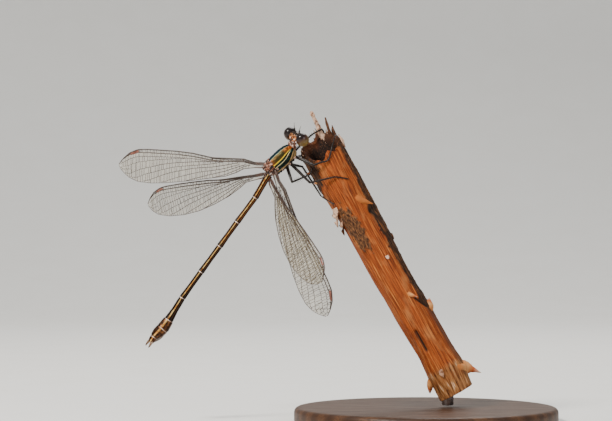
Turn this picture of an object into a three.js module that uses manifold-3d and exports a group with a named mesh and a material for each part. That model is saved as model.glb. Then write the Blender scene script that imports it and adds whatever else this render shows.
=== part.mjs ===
// Life-size female damselfly gripping a broken thorny cane, on a small display stand.
// Millimetres. +X right, +Y away from the viewer, +Z up. Origin: centre of the base underside.
import * as THREE from 'three';
import Module from 'manifold-3d';

const wasm = await Module();
wasm.setup();

const vec = (x, y, z) => new THREE.Vector3(x, y, z);
const degrees = Math.PI / 180;

// Driving dimensions
const GAP = 0.22;
const STAND_GAP = 0.3;
const BASE = { radius: 22, thickness: 2.5, chamfer: 0.5, sides: 56 };
const ROD = { x: 3.6, radius: 1.0, top: 10.2, depthClearance: 0.3, sides: 16 };

const THORAX = { centre: vec(-24.05, -2.5, 43.7), width: 2.7, height: 3.75, front: 2.75, back: 3.35 };
const THORAX_SLOPE = 42.5 * degrees;
const BODY_ROLL = 37 * degrees;

const HEAD = { centre: vec(-21.6, -2.35, 47.35), width: 3.0, length: 1.9, height: 2.1 };
const EYE = { spacing: 3.3, width: 2.05, length: 2.15, height: 2.45 };

const TAIL_WIDTH = 2.1;

const WING_THICKNESS = 0.5;
const VEIN_HEIGHT = 0.11;
const FORE_WING_LENGTH = 26.4;
const HIND_WING_LENGTH = 24.2;

const CANE_SIDES = 18;

// Body axes: forward along the thorax, to the animal's right, and to its back
const forward = vec(Math.cos(THORAX_SLOPE), 0, Math.sin(THORAX_SLOPE));
const towardViewer = vec(0, -1, 0);
const across = vec(Math.sin(THORAX_SLOPE), 0, -Math.cos(THORAX_SLOPE));
const right = across.clone().multiplyScalar(Math.cos(BODY_ROLL))
  .addScaledVector(towardViewer, Math.sin(BODY_ROLL));
const dorsal = towardViewer.clone().multiplyScalar(Math.cos(BODY_ROLL))
  .addScaledVector(across, -Math.sin(BODY_ROLL));

// A closed body from points and triangles, with its faces turned outward
function body(points, faces) {
  let volume = 0;
  for (const [a, b, c] of faces) {
    volume += points[a].dot(points[b].clone().cross(points[c]));
  }
  const outward = volume < 0 ? faces.map(([a, b, c]) => [a, c, b]) : faces;
  const geometry = new THREE.BufferGeometry();
  const coordinates = points.flatMap((p) => [p.x, p.y, p.z]);
  geometry.setAttribute('position', new THREE.Float32BufferAttribute(coordinates, 3));
  geometry.setIndex(outward.flat());
  return geometry;
}

// Rings of equal point count joined side by side, with a fan at each end
function loft(rings) {
  const count = rings[0].length;
  const points = rings.flat();
  const faces = [];
  for (let row = 0; row + 1 < rings.length; row += 1) {
    for (let i = 0; i < count; i += 1) {
      const a = row * count + i;
      const b = row * count + ((i + 1) % count);
      faces.push([a, b, b + count], [a, b + count, a + count]);
    }
  }
  for (const [row, turn] of [[0, 1], [rings.length - 1, 0]]) {
    const centre = points.length;
    const middle = vec(0, 0, 0);
    rings[row].forEach((p) => middle.addScaledVector(p, 1 / count));
    points.push(middle);
    for (let i = 0; i < count; i += 1) {
      const a = row * count + i;
      const b = row * count + ((i + 1) % count);
      faces.push(turn ? [b, a, centre] : [a, b, centre]);
    }
  }
  return body(points, faces);
}

function ring(centre, side, up, halfWidth, halfHeight, sides) {
  const points = [];
  for (let i = 0; i < sides; i += 1) {
    const angle = (2 * Math.PI * i) / sides;
    points.push(centre.clone()
      .addScaledVector(side, halfWidth * Math.cos(angle))
      .addScaledVector(up, halfHeight * Math.sin(angle)));
  }
  return points;
}

// A rounded body with three half sizes along three axes
function ovoid(centre, axes, halves, sides, rows) {
  const rings = [];
  for (let row = 1; row < rows; row += 1) {
    const angle = (Math.PI * row) / rows;
    const middle = centre.clone().addScaledVector(axes[0], -halves[0] * Math.cos(angle));
    const size = Math.sin(angle);
    rings.push(ring(middle, axes[1], axes[2], halves[1] * size, halves[2] * size, sides));
  }
  rings[0] = rings[0].map((p) => p.addScaledVector(axes[0], -halves[0] * 0.02));
  return loft(rings);
}

// A round limb along points with a radius at each, its frame carried along the bends
function limb(points, radii, sides = 8) {
  const rings = [];
  let side = null;
  points.forEach((point, i) => {
    const before = points[Math.max(i - 1, 0)];
    const after = points[Math.min(i + 1, points.length - 1)];
    const along = after.clone().sub(before).normalize();
    if (!side) {
      side = Math.abs(along.y) < 0.9 ? vec(0, 1, 0) : vec(1, 0, 0);
    }
    side = side.clone().addScaledVector(along, -side.dot(along)).normalize();
    const up = along.clone().cross(side);
    rings.push(ring(point, side, up, radii[i], radii[i], sides));
  });
  return loft(rings);
}

// The same limb with rounded ends, grown all over by a margin
function roundedLimb(points, radii, grow = 0, sides = 8) {
  const last = points.length - 1;
  const start = points[0].clone().sub(points[1]).normalize();
  const end = points[last].clone().sub(points[last - 1]).normalize();
  const path = [
    points[0].clone().addScaledVector(start, radii[0] * 0.5 + grow),
    ...points,
    points[last].clone().addScaledVector(end, radii[last] * 0.5 + grow),
  ];
  const sizes = [radii[0] * 0.6, ...radii, radii[last] * 0.6].map((r) => r + grow);
  return limb(path, sizes, sides);
}

function toSolid(geometry) {
  return new wasm.Manifold(new wasm.Mesh({
    numProp: 3,
    vertProperties: new Float32Array(geometry.attributes.position.array),
    triVerts: new Uint32Array(geometry.index.array),
  }));
}

// The largest closed surface of a solid, back as a geometry
function fromSolid(solid) {
  const pieces = solid.decompose().sort((a, b) => b.volume() - a.volume());
  const mesh = pieces[0].getMesh();
  const geometry = new THREE.BufferGeometry();
  geometry.setAttribute('position', new THREE.BufferAttribute(mesh.vertProperties, 3));
  geometry.setIndex(new THREE.BufferAttribute(mesh.triVerts, 1));
  return geometry;
}

function cutBy(geometry, ...cutters) {
  let solid = toSolid(geometry);
  cutters.forEach((cutter) => {
    solid = solid.subtract(toSolid(cutter));
  });
  return fromSolid(solid);
}

function joined(...geometries) {
  let solid = toSolid(geometries[0]);
  geometries.slice(1).forEach((geometry) => {
    solid = solid.add(toSolid(geometry));
  });
  return fromSolid(solid);
}

// Straight-line reading of a table of [position, value]
function read(table, at) {
  for (let i = 1; i < table.length; i += 1) {
    const [x0, y0] = table[i - 1];
    const [x1, y1] = table[i];
    if (at <= x1) {
      return y0 + ((at - x0) / (x1 - x0)) * (y1 - y0);
    }
  }
  return table[table.length - 1][1];
}

const model = new THREE.Group();

function add(name, geometry, colour, roughness, metalness = 0) {
  const material = new THREE.MeshStandardMaterial({ color: colour, roughness, metalness });
  const mesh = new THREE.Mesh(geometry, material);
  mesh.name = name;
  model.add(mesh);
}

// Display stand: a chamfered disc of dark wood and one steel rod
function standBase() {
  const { radius, thickness, chamfer, sides } = BASE;
  const profile = [
    new THREE.Vector2(0, 0),
    new THREE.Vector2(radius, 0),
    new THREE.Vector2(radius, thickness - chamfer),
    new THREE.Vector2(radius - chamfer, thickness),
    new THREE.Vector2(0, thickness),
  ];
  const rings = profile.slice(1, -1).map((p) => (
    ring(vec(0, 0, p.y), vec(1, 0, 0), vec(0, 1, 0), p.x, p.x, sides)
  ));
  return loft(rings);
}

function uprightCylinder(x, radius, bottom, top, sides) {
  return loft([bottom, top].map((z) => (
    ring(vec(x, 0, z), vec(1, 0, 0), vec(0, 1, 0), radius, radius, sides)
  )));
}

// Cane: its centre line and its radius, from the broken top down to the sawn end
const caneTop = vec(-17.33, 0, 45.33);
const caneEnd = vec(5.1, 0, 4.95);
const caneLine = [[4.95, 5.1], [9.17, 3.0], [25.25, -6.17], [45.33, -17.33], [60, -25.5]];
const caneUp = caneTop.clone().sub(caneEnd).normalize();
const caneAcross = vec(caneUp.z, 0, -caneUp.x);
const caneRadius = [[0, 3.5], [8, 3.4], [14, 3.15], [22, 3.0], [38.5, 2.95], [41.6, 3.25], [43.6, 3.1],
  [47, 2.95]];
const caneLength = caneTop.distanceTo(caneEnd);

function caneCentre(down) {
  const z = caneTop.z - down * caneUp.z;
  return vec(read(caneLine, z), 0, z);
}

// A point at a distance down the cane, an angle round from its front, and a lift off its skin
function onCane(down, angle, lift) {
  const radius = read(caneRadius, Math.max(down, 0)) + lift;
  return caneCentre(down)
    .addScaledVector(caneAcross, radius * Math.sin(angle * degrees))
    .addScaledVector(towardViewer, radius * Math.cos(angle * degrees));
}

// Height of the broken rim: low in front, tall behind, jagged all round
function rimHeight(angle) {
  const jag = 0.35 * Math.sin(5 * angle + 0.6) + 0.22 * Math.sin(9 * angle);
  return 0.75 - 2.0 * Math.cos(angle) + jag;
}

function caneRing(down, scale, rimShare, grow = 0) {
  const points = [];
  for (let i = 0; i < CANE_SIDES; i += 1) {
    const angle = (2 * Math.PI * i) / CANE_SIDES;
    const flute = 1 + 0.025 * Math.sin(3 * angle + down * 0.25) + 0.012 * Math.sin(7 * angle);
    const radius = (read(caneRadius, Math.max(down, 0)) * flute + grow) * scale;
    points.push(caneCentre(down - rimHeight(angle) * rimShare)
      .addScaledVector(caneAcross, radius * Math.sin(angle))
      .addScaledVector(towardViewer, radius * Math.cos(angle)));
  }
  return points;
}

function caneShaft(grow = 0) {
  const rings = [];
  const steps = [caneLength, 43.6, 41.6, 39, 35, 30, 25, 20, 15, 11, 8];
  steps.forEach((down) => rings.push(caneRing(down, 1, 0, grow)));
  rings.push(caneRing(4, 1, 0.4, grow));
  rings.push(caneRing(1.6, 1, 0.8, grow));
  rings.push(caneRing(0 - grow, 0.97, 1, grow));
  if (grow === 0) {
    rings.push(caneRing(0.15, 0.8, 1));
    rings.push(caneRing(1.4, 0.68, 0.9));
    rings.push(caneRing(3.4, 0.55, 0.6));
    rings.push(caneRing(4.2, 0.25, 0.3));
  }
  return loft(rings);
}

// A thorn, splinter or bud: a tapered limb rooted in the cane
function spike(root, tip, rootRadius, bow = 0, sides = 7) {
  const middle = root.clone().lerp(tip, 0.5).addScaledVector(caneUp, bow);
  return limb([root, middle, tip], [rootRadius, rootRadius * 0.6, 0.12], sides);
}

function cane() {
  const splinterRoot = onCane(1.6, 158, -0.5);
  const parts = [
    caneShaft(),
    limb([onCane(43.1, 90, -1.6), onCane(43.3, 90, 0.25), onCane(44.1, 90, 1.2), onCane(45.4, 90, 2.25)],
      [1.95, 1.3, 0.55, 0.12], 9),
    spike(onCane(31.9, 88, -0.8), onCane(30.9, 88, 0.7), 1.0),
    spike(onCane(28.9, 27, -0.8), onCane(28.2, 27, 0.5), 0.75),
    spike(onCane(11.6, 44, -0.8), onCane(11.0, 40, 0.45), 0.95),
    spike(onCane(42.3, -92, -1.0), onCane(44.2, -92, 1.1), 0.9),
    spike(onCane(2.6, -88, -0.8), onCane(2.2, -88, 0.75), 0.6),
    spike(onCane(4.4, -84, -0.8), onCane(4.3, -84, 0.6), 0.5),
    limb([splinterRoot, onCane(-2.2, 156, -0.5), onCane(-4.8, 151, -0.6), onCane(-6.6, 147, -0.6)],
      [0.75, 0.6, 0.42, 0.16], 7),
    limb([onCane(1.4, 128, -0.5), onCane(-2.4, 122, -0.4), onCane(-4.6, 118, 0.1)],
      [0.6, 0.35, 0.12], 6),
    limb([onCane(1.0, 100, -0.5), onCane(-1.6, 98, -0.35), onCane(-2.9, 96, 0.0)],
      [0.55, 0.35, 0.12], 6),
  ];
  const hole = uprightCylinder(ROD.x, ROD.radius + STAND_GAP, BASE.thickness - 2,
    ROD.top + ROD.depthClearance, ROD.sides);
  return cutBy(joined(...parts), hole);
}

const caneSkin = caneShaft(GAP);

// Head: a wide vertex between two hemispherical eyes, mouthparts below, two short feelers
const headRight = vec(0.61, -0.72, -0.32).normalize();
const headForward = vec(0.68, 0.274, 0.68).addScaledVector(headRight, -0.003).normalize();
const headUp = headRight.clone().cross(headForward).normalize();
const headAxes = [headRight, headForward, headUp];

function inHead(toRight, toFront, toTop) {
  return HEAD.centre.clone()
    .addScaledVector(headRight, toRight)
    .addScaledVector(headForward, toFront)
    .addScaledVector(headUp, toTop);
}

function headShape(grow = 0) {
  const halves = [HEAD.width / 2 + grow, HEAD.length / 2 + grow, HEAD.height / 2 + grow];
  return ovoid(HEAD.centre, headAxes, halves, 14, 9);
}

function eyeShape(sign, grow = 0) {
  const halves = [EYE.width / 2 + grow, EYE.length / 2 + grow, EYE.height / 2 + grow];
  return ovoid(inHead((sign * EYE.spacing) / 2, 0.05, 0.08), headAxes, halves, 14, 9);
}

function antennaShape(sign) {
  const root = inHead(sign * 0.55, 0.55, 0.6);
  const points = [[0, 0, 0], [0.12, 0.3, 0.6], [0.28, 0.62, 1.0], [0.4, 0.93, 1.27]].map(
    ([outward, front, top]) => root.clone().addScaledVector(headRight, sign * outward)
      .addScaledVector(headForward, front).addScaledVector(headUp, top),
  );
  return limb(points, [0.26, 0.25, 0.16, 0.1], 7);
}

function mouthShape() {
  return ovoid(inHead(0, 0.62, -0.78), headAxes, [0.85, 0.62, 0.62], 10, 7);
}

// Thorax: lofted along the forward axis, a low keel on its back, its sides nearly upright
const thoraxProfile = [[-THORAX.back, 0.42], [-3.0, 0.66], [-2.4, 0.84], [-1.5, 0.96], [-0.4, 1],
  [0.8, 1], [1.7, 0.93], [2.3, 0.78], [2.65, 0.58], [THORAX.front, 0.4]];

function inThorax(toFront, toRight, toBack) {
  return THORAX.centre.clone()
    .addScaledVector(forward, toFront)
    .addScaledVector(right, toRight)
    .addScaledVector(dorsal, toBack);
}

function thoraxShape(grow = 0) {
  const sides = 20;
  const rings = thoraxProfile.map(([at, size], row) => {
    const end = row === 0 ? -grow : (row === thoraxProfile.length - 1 ? grow : 0);
    const points = [];
    for (let i = 0; i < sides; i += 1) {
      const angle = (2 * Math.PI * i) / sides;
      const x = Math.sign(Math.cos(angle)) * Math.abs(Math.cos(angle)) ** 0.85;
      const z = Math.sin(angle);
      const keel = i === sides / 4 ? 1.05 : 1;
      const narrow = z < 0 ? 1 + 0.22 * z : 1;
      points.push(inThorax(at + end, x * narrow * ((THORAX.width / 2) * size + grow),
        z * keel * ((THORAX.height / 2) * size + grow)));
    }
    return points;
  });
  return loft(rings);
}

const neckRear = inThorax(THORAX.front - 0.5, 0, 0.3);
const neckFront = inHead(0, -0.75, -0.1);

function prothoraxShape(grow = 0) {
  const middle = neckRear.clone().lerp(neckFront, 0.55);
  const points = [neckRear, neckRear.clone().lerp(middle, 0.5), middle, neckFront];
  return limb(points, [0.8, 0.92, 0.85, 0.5].map((r) => r + grow), 14);
}

// Abdomen: ten segments end to end, slender, then swollen under the eighth and ninth
const abdomenBase = vec(-26.15, -2.1, 41.15);
const abdomenPath = [
  { end: vec(-26.75, -2.1, 40.25), start: 0.72, middle: 0.66, finish: 0.56 },
  { end: vec(-28.4, -2.05, 37.4), start: 0.54, middle: 0.55, finish: 0.56 },
  { end: vec(-31.4, -1.95, 33.35), start: 0.5, middle: 0.47, finish: 0.55 },
  { end: vec(-34.3, -1.85, 29.35), start: 0.5, middle: 0.47, finish: 0.55 },
  { end: vec(-37.4, -1.75, 25.1), start: 0.5, middle: 0.47, finish: 0.55 },
  { end: vec(-40.5, -1.6, 20.8), start: 0.5, middle: 0.48, finish: 0.57 },
  { end: vec(-42.75, -1.5, 17.15), start: 0.53, middle: 0.58, finish: 0.78 },
  { end: vec(-43.75, -1.45, 15.7), start: 0.8, middle: 0.95, finish: TAIL_WIDTH / 2 },
  { end: vec(-45.2, -1.4, 14.3), start: TAIL_WIDTH / 2, middle: 1.0, finish: 0.72 },
  { end: vec(-45.85, -1.35, 13.35), start: 0.68, middle: 0.62, finish: 0.45 },
];

function segmentFrame(index) {
  const start = index ? abdomenPath[index - 1].end : abdomenBase;
  const along = abdomenPath[index].end.clone().sub(start).normalize();
  const side = right.clone().addScaledVector(along, -right.dot(along)).normalize();
  return { start, along, side, up: side.clone().cross(along).negate() };
}

// One segment: a ring-shaped lip at its rear end, deeper than wide where the tail swells
function abdomenSegment(index, grow = 0) {
  const { start, along, side, up } = segmentFrame(index);
  const { end, start: first, middle, finish } = abdomenPath[index];
  const length = end.distanceTo(start);
  const deep = index === 7 || index === 8 ? 1.05 : 1;
  const stations = [
    [GAP / 2 - grow, first], [length * 0.2, (first + middle) / 2], [length * 0.55, middle],
    [length * 0.86, (middle + finish) / 2], [length - GAP / 2 + grow, finish],
  ];
  const rings = stations.map(([at, radius]) => (
    ring(start.clone().addScaledVector(along, at), side, up, radius + grow,
      (radius + grow) * deep, 14)
  ));
  return loft(rings);
}

function cercusShape(sign) {
  const { along, side, up } = segmentFrame(9);
  const root = abdomenPath[9].end.clone().addScaledVector(along, -0.3)
    .addScaledVector(side, sign * 0.34).addScaledVector(up, 0.12);
  const tip = root.clone().addScaledVector(along, 1.05).addScaledVector(side, sign * 0.12);
  return roundedLimb([root, tip], [0.26, 0.16], 0, 7);
}

// Egg-laying blade folded under the ninth and tenth segments, with its fine stylus
function ovipositorShape() {
  const { along, up } = segmentFrame(8);
  const root = abdomenPath[7].end.clone().addScaledVector(along, 0.5).addScaledVector(up, -1.0);
  const heel = root.clone().addScaledVector(along, 1.0).addScaledVector(up, -0.12);
  const tip = root.clone().addScaledVector(along, 2.15).addScaledVector(up, 0.1);
  const stylus = tip.clone().addScaledVector(along, 0.5).addScaledVector(up, 0.15);
  return limb([root, heel, tip, stylus], [0.3, 0.34, 0.24, 0.1], 8);
}

// Wing outlines: height of the front edge and of the rear edge over the root-to-tip line
const foreFront = [[0, 0.34], [0.09, 0.42], [0.16, 0.98], [0.37, 1.2], [0.42, 1.5], [0.5, 1.95],
  [0.61, 2.3], [0.72, 2.47], [0.8, 2.6], [0.87, 2.58], [0.93, 2.0], [0.975, 1.0], [1, 0.2]];
const foreRear = [[0, -0.4], [0.09, -0.42], [0.16, -0.6], [0.21, -1.25], [0.28, -1.85],
  [0.4, -2.25], [0.54, -2.7], [0.68, -3.0], [0.78, -3.05], [0.87, -2.8], [0.93, -2.1],
  [0.975, -1.1], [1, -0.25]];
const hindFront = [[0, 0.34], [0.1, 0.4], [0.19, 0.62], [0.37, 1.0], [0.46, 1.42], [0.59, 1.8],
  [0.7, 2.06], [0.82, 2.26], [0.87, 2.24], [0.93, 1.8], [0.975, 0.95], [1, 0.2]];
const hindRear = [[0, -0.4], [0.1, -0.4], [0.175, -0.42], [0.23, -1.05], [0.33, -1.95],
  [0.46, -2.7], [0.59, -3.15], [0.72, -3.18], [0.84, -2.78], [0.93, -2.05], [0.975, -1.2],
  [1, -0.25]];

const wingRows = [0, 0.05, 0.1, 0.16, 0.2, 0.25, 0.31, 0.37, 0.44, 0.52, 0.6, 0.68, 0.76, 0.83,
  0.865, 0.885, 0.925, 0.945, 0.975, 1];
const mainVeins = [0.13, 0.33, 0.56, 0.78];
const VEIN_HALF = 0.02;
const STIGMA = { from: 0.88, to: 0.93 };

// Stations across the wing: the thick front edge, then a raised line for each main vein
function wingStations() {
  const stations = [[0, 1], [0.04, 0]];
  mainVeins.forEach((at) => stations.push([at - VEIN_HALF, 0], [at, 1], [at + VEIN_HALF, 0]));
  stations.push([1, 0.3]);
  return stations;
}

function wingShape({ root, tip, front, rear, frontward, bow, twist }) {
  const span = tip.clone().sub(root);
  const length = span.length();
  const along = span.clone().normalize();
  const chord = frontward.clone().addScaledVector(along, -frontward.dot(along)).normalize();
  const normal = along.clone().cross(chord);
  const stations = wingStations();
  const upper = [];
  const lower = [];
  wingRows.forEach((row) => {
    const high = read(front, row);
    const low = read(rear, row);
    const arch = bow * Math.sin(Math.PI * row);
    stations.forEach(([share, vein]) => {
      const height = high + (low - high) * share;
      const stigma = row > STIGMA.from && row < STIGMA.to && share < mainVeins[0];
      const lift = WING_THICKNESS / 2 + VEIN_HEIGHT * (stigma ? 1 : vein);
      const middle = root.clone().addScaledVector(along, row * length)
        .addScaledVector(chord, height)
        .addScaledVector(normal, arch + twist * row * height);
      upper.push(middle.clone().addScaledVector(normal, lift));
      lower.push(middle.clone().addScaledVector(normal, -lift));
    });
  });
  const columns = stations.length;
  const rows = wingRows.length;
  const under = upper.length;
  const faces = [];
  const panel = (a, b, c, d) => faces.push([a, b, c], [a, c, d]);
  for (let r = 0; r + 1 < rows; r += 1) {
    for (let c = 0; c + 1 < columns; c += 1) {
      const a = r * columns + c;
      const b = a + 1;
      panel(a, b, b + columns, a + columns);
      faces.push([under + a, under + b + columns, under + b]);
      faces.push([under + a, under + a + columns, under + b + columns]);
    }
    const left = r * columns;
    const far = left + columns - 1;
    panel(left, left + columns, under + left + columns, under + left);
    panel(far, under + far, under + far + columns, far + columns);
  }
  for (let c = 0; c + 1 < columns; c += 1) {
    const last = (rows - 1) * columns + c;
    panel(c, under + c, under + c + 1, c + 1);
    panel(last, last + 1, under + last + 1, under + last);
  }
  return body(upper.concat(lower), faces);
}

// A wing tip at a place across and up, as deep as the wing's length asks; side 1 is away
function tipFrom(root, x, z, length, side) {
  const across = Math.hypot(x - root.x, z - root.z);
  return vec(x, root.y + side * Math.sqrt(length ** 2 - across ** 2), z);
}

const wingRoots = {
  foreLeft: vec(-26.2, -3.15, 42.75),
  hindLeft: vec(-26.35, -2.95, 41.25),
  foreRight: vec(-25.35, -3.5, 42.1),
  hindRight: vec(-26.05, -4.2, 40.45),
};

const wings = {
  wing_fore_left: {
    root: wingRoots.foreLeft, tip: tipFrom(wingRoots.foreLeft, -51.5, 42.95, FORE_WING_LENGTH, 1),
    frontward: vec(0, 0, 1), front: foreFront, rear: foreRear, bow: -0.3, twist: 0.05,
  },
  wing_hind_left: {
    root: wingRoots.hindLeft, tip: tipFrom(wingRoots.hindLeft, -46.9, 36.25, HIND_WING_LENGTH, 1),
    frontward: vec(-0.2, 0, 1), front: hindFront, rear: hindRear, bow: -0.3, twist: 0.05,
  },
  wing_fore_right: {
    root: wingRoots.foreRight, tip: tipFrom(wingRoots.foreRight, -16.6, 18.1, FORE_WING_LENGTH, -1),
    frontward: vec(0.8, -0.52, 0.3), front: foreFront, rear: foreRear, bow: 0.7, twist: -0.05,
  },
  wing_hind_right: {
    root: wingRoots.hindRight, tip: tipFrom(wingRoots.hindRight, -17.6, 23.85, HIND_WING_LENGTH, -1),
    frontward: vec(0.75, -0.6, 0.28), front: hindFront, rear: hindRear, bow: 0.7, twist: -0.05,
  },
};

// Legs: hip, knee and ankle, then the foot's points on the cane
const FEMUR = [0.34, 0.36, 0.29];
const TIBIA = [0.27, 0.26, 0.25];
const TARSUS = [0.25, 0.24, 0.12];

const legs = {
  front_right: {
    hip: inThorax(1.95, 0.45, -1.05), knee: vec(-18.75, -3.75, 42.75),
    shin: [onCane(1.95, 1, 0.52), onCane(0.35, 26, 0.52)],
    foot: [onCane(-0.55, 44, 0.44), onCane(-1.0, 58, 0.42)],
  },
  middle_right: {
    hip: inThorax(0.65, 0.55, -1.6), knee: vec(-19.35, -3.3, 39.85),
    shin: [onCane(4.95, -6, 0.5)],
    foot: [onCane(5.6, 8, 0.42), onCane(6.3, 22, 0.42)],
  },
  hind_right: {
    hip: inThorax(-0.15, 0.6, -1.65), knee: vec(-22.3, -2.9, 39.95),
    shin: [onCane(2.6, -74, 0.62)],
    foot: [onCane(2.35, -64, 0.44), onCane(1.9, -52, 0.42)],
  },
  front_left: {
    hip: inThorax(1.95, -0.35, -1.1), knee: vec(-20.9, 1.3, 46.2),
    shin: [vec(-19.0, 0.35, 47.95), vec(-17.35, -0.3, 48.9)],
    foot: [vec(-17.05, -0.3, 48.5), vec(-16.95, -0.3, 47.9)],
  },
  middle_left: {
    hip: inThorax(0.75, -0.45, -1.6), knee: vec(-20.2, 3.0, 44.6),
    shin: [onCane(4.4, -122, 0.62)],
    foot: [onCane(5.0, -108, 0.44), onCane(5.9, -98, 0.42)],
  },
  hind_left: {
    hip: inThorax(-0.1, -0.5, -1.65), knee: vec(-20.6, 2.9, 42.6),
    shin: [onCane(6.6, -82, 0.62)],
    foot: [onCane(7.5, -70, 0.44), onCane(8.8, -50, 0.42)],
  },
};

function femurShape(leg, grow = 0) {
  const middle = leg.hip.clone().lerp(leg.knee, 0.45);
  return roundedLimb([leg.hip, middle, leg.knee], FEMUR, grow);
}

function tibiaShape(leg, grow = 0) {
  const points = [leg.knee, leg.knee.clone().lerp(leg.shin[0], 0.5), ...leg.shin];
  const taper = [[0, TIBIA[0]], [1, TIBIA[1]], [points.length, TIBIA[2]]];
  const radii = points.map((p, i) => read(taper, i));
  return roundedLimb(points, radii, grow);
}

function tarsusShape(leg) {
  const ankle = leg.shin[leg.shin.length - 1];
  return roundedLimb([ankle, ...leg.foot], TARSUS);
}

// The whole, from the stand up
const WOOD = 0x3b2417;
const STEEL = 0xb8bcc0;
const BARK = 0xb5733f;
const BRONZE = 0x4a3a22;
const THORAX_BRONZE = 0x5a5a2c;
const DARK = 0x1c1710;
const LEG = 0x1d140e;
const CLEAR = 0xb9b48c;

add('stand_base', standBase(), WOOD, 0.45);
add('stand_rod', uprightCylinder(ROD.x, ROD.radius, BASE.thickness + STAND_GAP, ROD.top, ROD.sides),
  STEEL, 0.3, 1);
add('perch_stem', cane(), BARK, 0.85);

const grownThorax = thoraxShape(GAP);
const grownHead = headShape(GAP);
const grownNeck = prothoraxShape(GAP);

add('thorax', thoraxShape(), THORAX_BRONZE, 0.32, 0.7);
add('head', headShape(), 0x9a6a3c, 0.5, 0.2);
add('prothorax', cutBy(prothoraxShape(), grownThorax, grownHead), 0xc9a78e, 0.6);
add('eye_left', cutBy(eyeShape(-1), grownHead), 0x3a2418, 0.2);
add('eye_right', cutBy(eyeShape(1), grownHead), 0x3a2418, 0.2);
const grownEyes = [eyeShape(-1, GAP), eyeShape(1, GAP)];
add('mouthparts', cutBy(mouthShape(), grownHead, ...grownEyes), 0xd8c07a, 0.6);
add('antenna_left', cutBy(antennaShape(-1), grownHead, ...grownEyes), DARK, 0.5);
add('antenna_right', cutBy(antennaShape(1), grownHead, ...grownEyes), DARK, 0.5);

abdomenPath.forEach((segment, index) => {
  const shape = abdomenSegment(index);
  const before = index === 0 ? grownThorax : abdomenSegment(index - 1, GAP);
  add(`abdomen_${index + 1}`, cutBy(shape, before), BRONZE, 0.3, 0.75);
});
const grownTail = [7, 8, 9].map((index) => abdomenSegment(index, GAP));
const grownRoot = [abdomenSegment(0, GAP), abdomenSegment(1, GAP)];
add('ovipositor', cutBy(ovipositorShape(), ...grownTail), 0x6b5238, 0.5);
add('cercus_left', cutBy(cercusShape(-1), grownTail[2]), 0xe4dcc4, 0.5);
add('cercus_right', cutBy(cercusShape(1), grownTail[2]), 0xe4dcc4, 0.5);

Object.entries(wings).forEach(([name, wing]) => {
  add(name, cutBy(wingShape(wing), grownThorax, ...grownRoot), CLEAR, 0.35);
});

Object.entries(legs).forEach(([name, leg]) => {
  const grownFemur = femurShape(leg, GAP);
  const grownTibia = tibiaShape(leg, GAP);
  const fromBody = [grownThorax, grownNeck, grownHead];
  add(`femur_${name}`, cutBy(femurShape(leg), ...fromBody, caneSkin), LEG, 0.45);
  add(`tibia_${name}`, cutBy(tibiaShape(leg), grownFemur, caneSkin, ...fromBody), LEG, 0.45);
  add(`tarsus_${name}`, cutBy(tarsusShape(leg), grownTibia, caneSkin), LEG, 0.5);
});

export default model;
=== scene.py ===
import math
import random

import bpy
import numpy as np
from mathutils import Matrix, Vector, noise


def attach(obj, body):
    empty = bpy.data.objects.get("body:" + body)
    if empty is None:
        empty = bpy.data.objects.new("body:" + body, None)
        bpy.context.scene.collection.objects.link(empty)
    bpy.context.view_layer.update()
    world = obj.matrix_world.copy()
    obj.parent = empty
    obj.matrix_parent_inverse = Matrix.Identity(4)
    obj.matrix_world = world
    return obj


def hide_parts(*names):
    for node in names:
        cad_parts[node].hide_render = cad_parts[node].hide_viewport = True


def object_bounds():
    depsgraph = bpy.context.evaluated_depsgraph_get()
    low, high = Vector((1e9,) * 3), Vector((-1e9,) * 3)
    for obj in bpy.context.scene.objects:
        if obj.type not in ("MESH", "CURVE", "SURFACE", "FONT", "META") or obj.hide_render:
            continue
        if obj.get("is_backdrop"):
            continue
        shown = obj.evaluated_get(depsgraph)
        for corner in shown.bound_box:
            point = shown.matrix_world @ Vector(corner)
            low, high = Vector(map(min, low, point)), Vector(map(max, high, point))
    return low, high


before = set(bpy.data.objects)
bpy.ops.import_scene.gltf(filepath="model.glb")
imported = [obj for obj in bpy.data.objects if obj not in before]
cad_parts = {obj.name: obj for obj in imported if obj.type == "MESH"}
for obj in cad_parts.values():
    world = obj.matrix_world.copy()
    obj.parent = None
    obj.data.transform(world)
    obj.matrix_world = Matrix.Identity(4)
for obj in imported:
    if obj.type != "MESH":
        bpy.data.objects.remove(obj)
cad_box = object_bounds()
MM = 0.001


# Stand base: a plain turned disc of dark stained hardwood with an eased edge.
# It is sanded, stained and given one thin coat of satin lacquer.
BASE_RADIUS = 22.0
BASE_THICKNESS = 2.5
BASE_SIDES = 160


def put(tree, kind, sockets=None, **settings):
    """A shader node with its sockets filled by values or by other nodes' outputs."""
    made = tree.nodes.new(kind)
    for key, value in settings.items():
        setattr(made, key, value)
    for key, value in (sockets or {}).items():
        if isinstance(value, bpy.types.NodeSocket):
            tree.links.new(value, made.inputs[key])
        else:
            made.inputs[key].default_value = value
    return made


def millimetres(tree):
    """The surface's own place in the model, in millimetres."""
    place = put(tree, "ShaderNodeTexCoord").outputs["Object"]
    return put(tree, "ShaderNodeVectorMath", {0: place, 3: 1000.0}, operation="SCALE").outputs[0]


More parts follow.
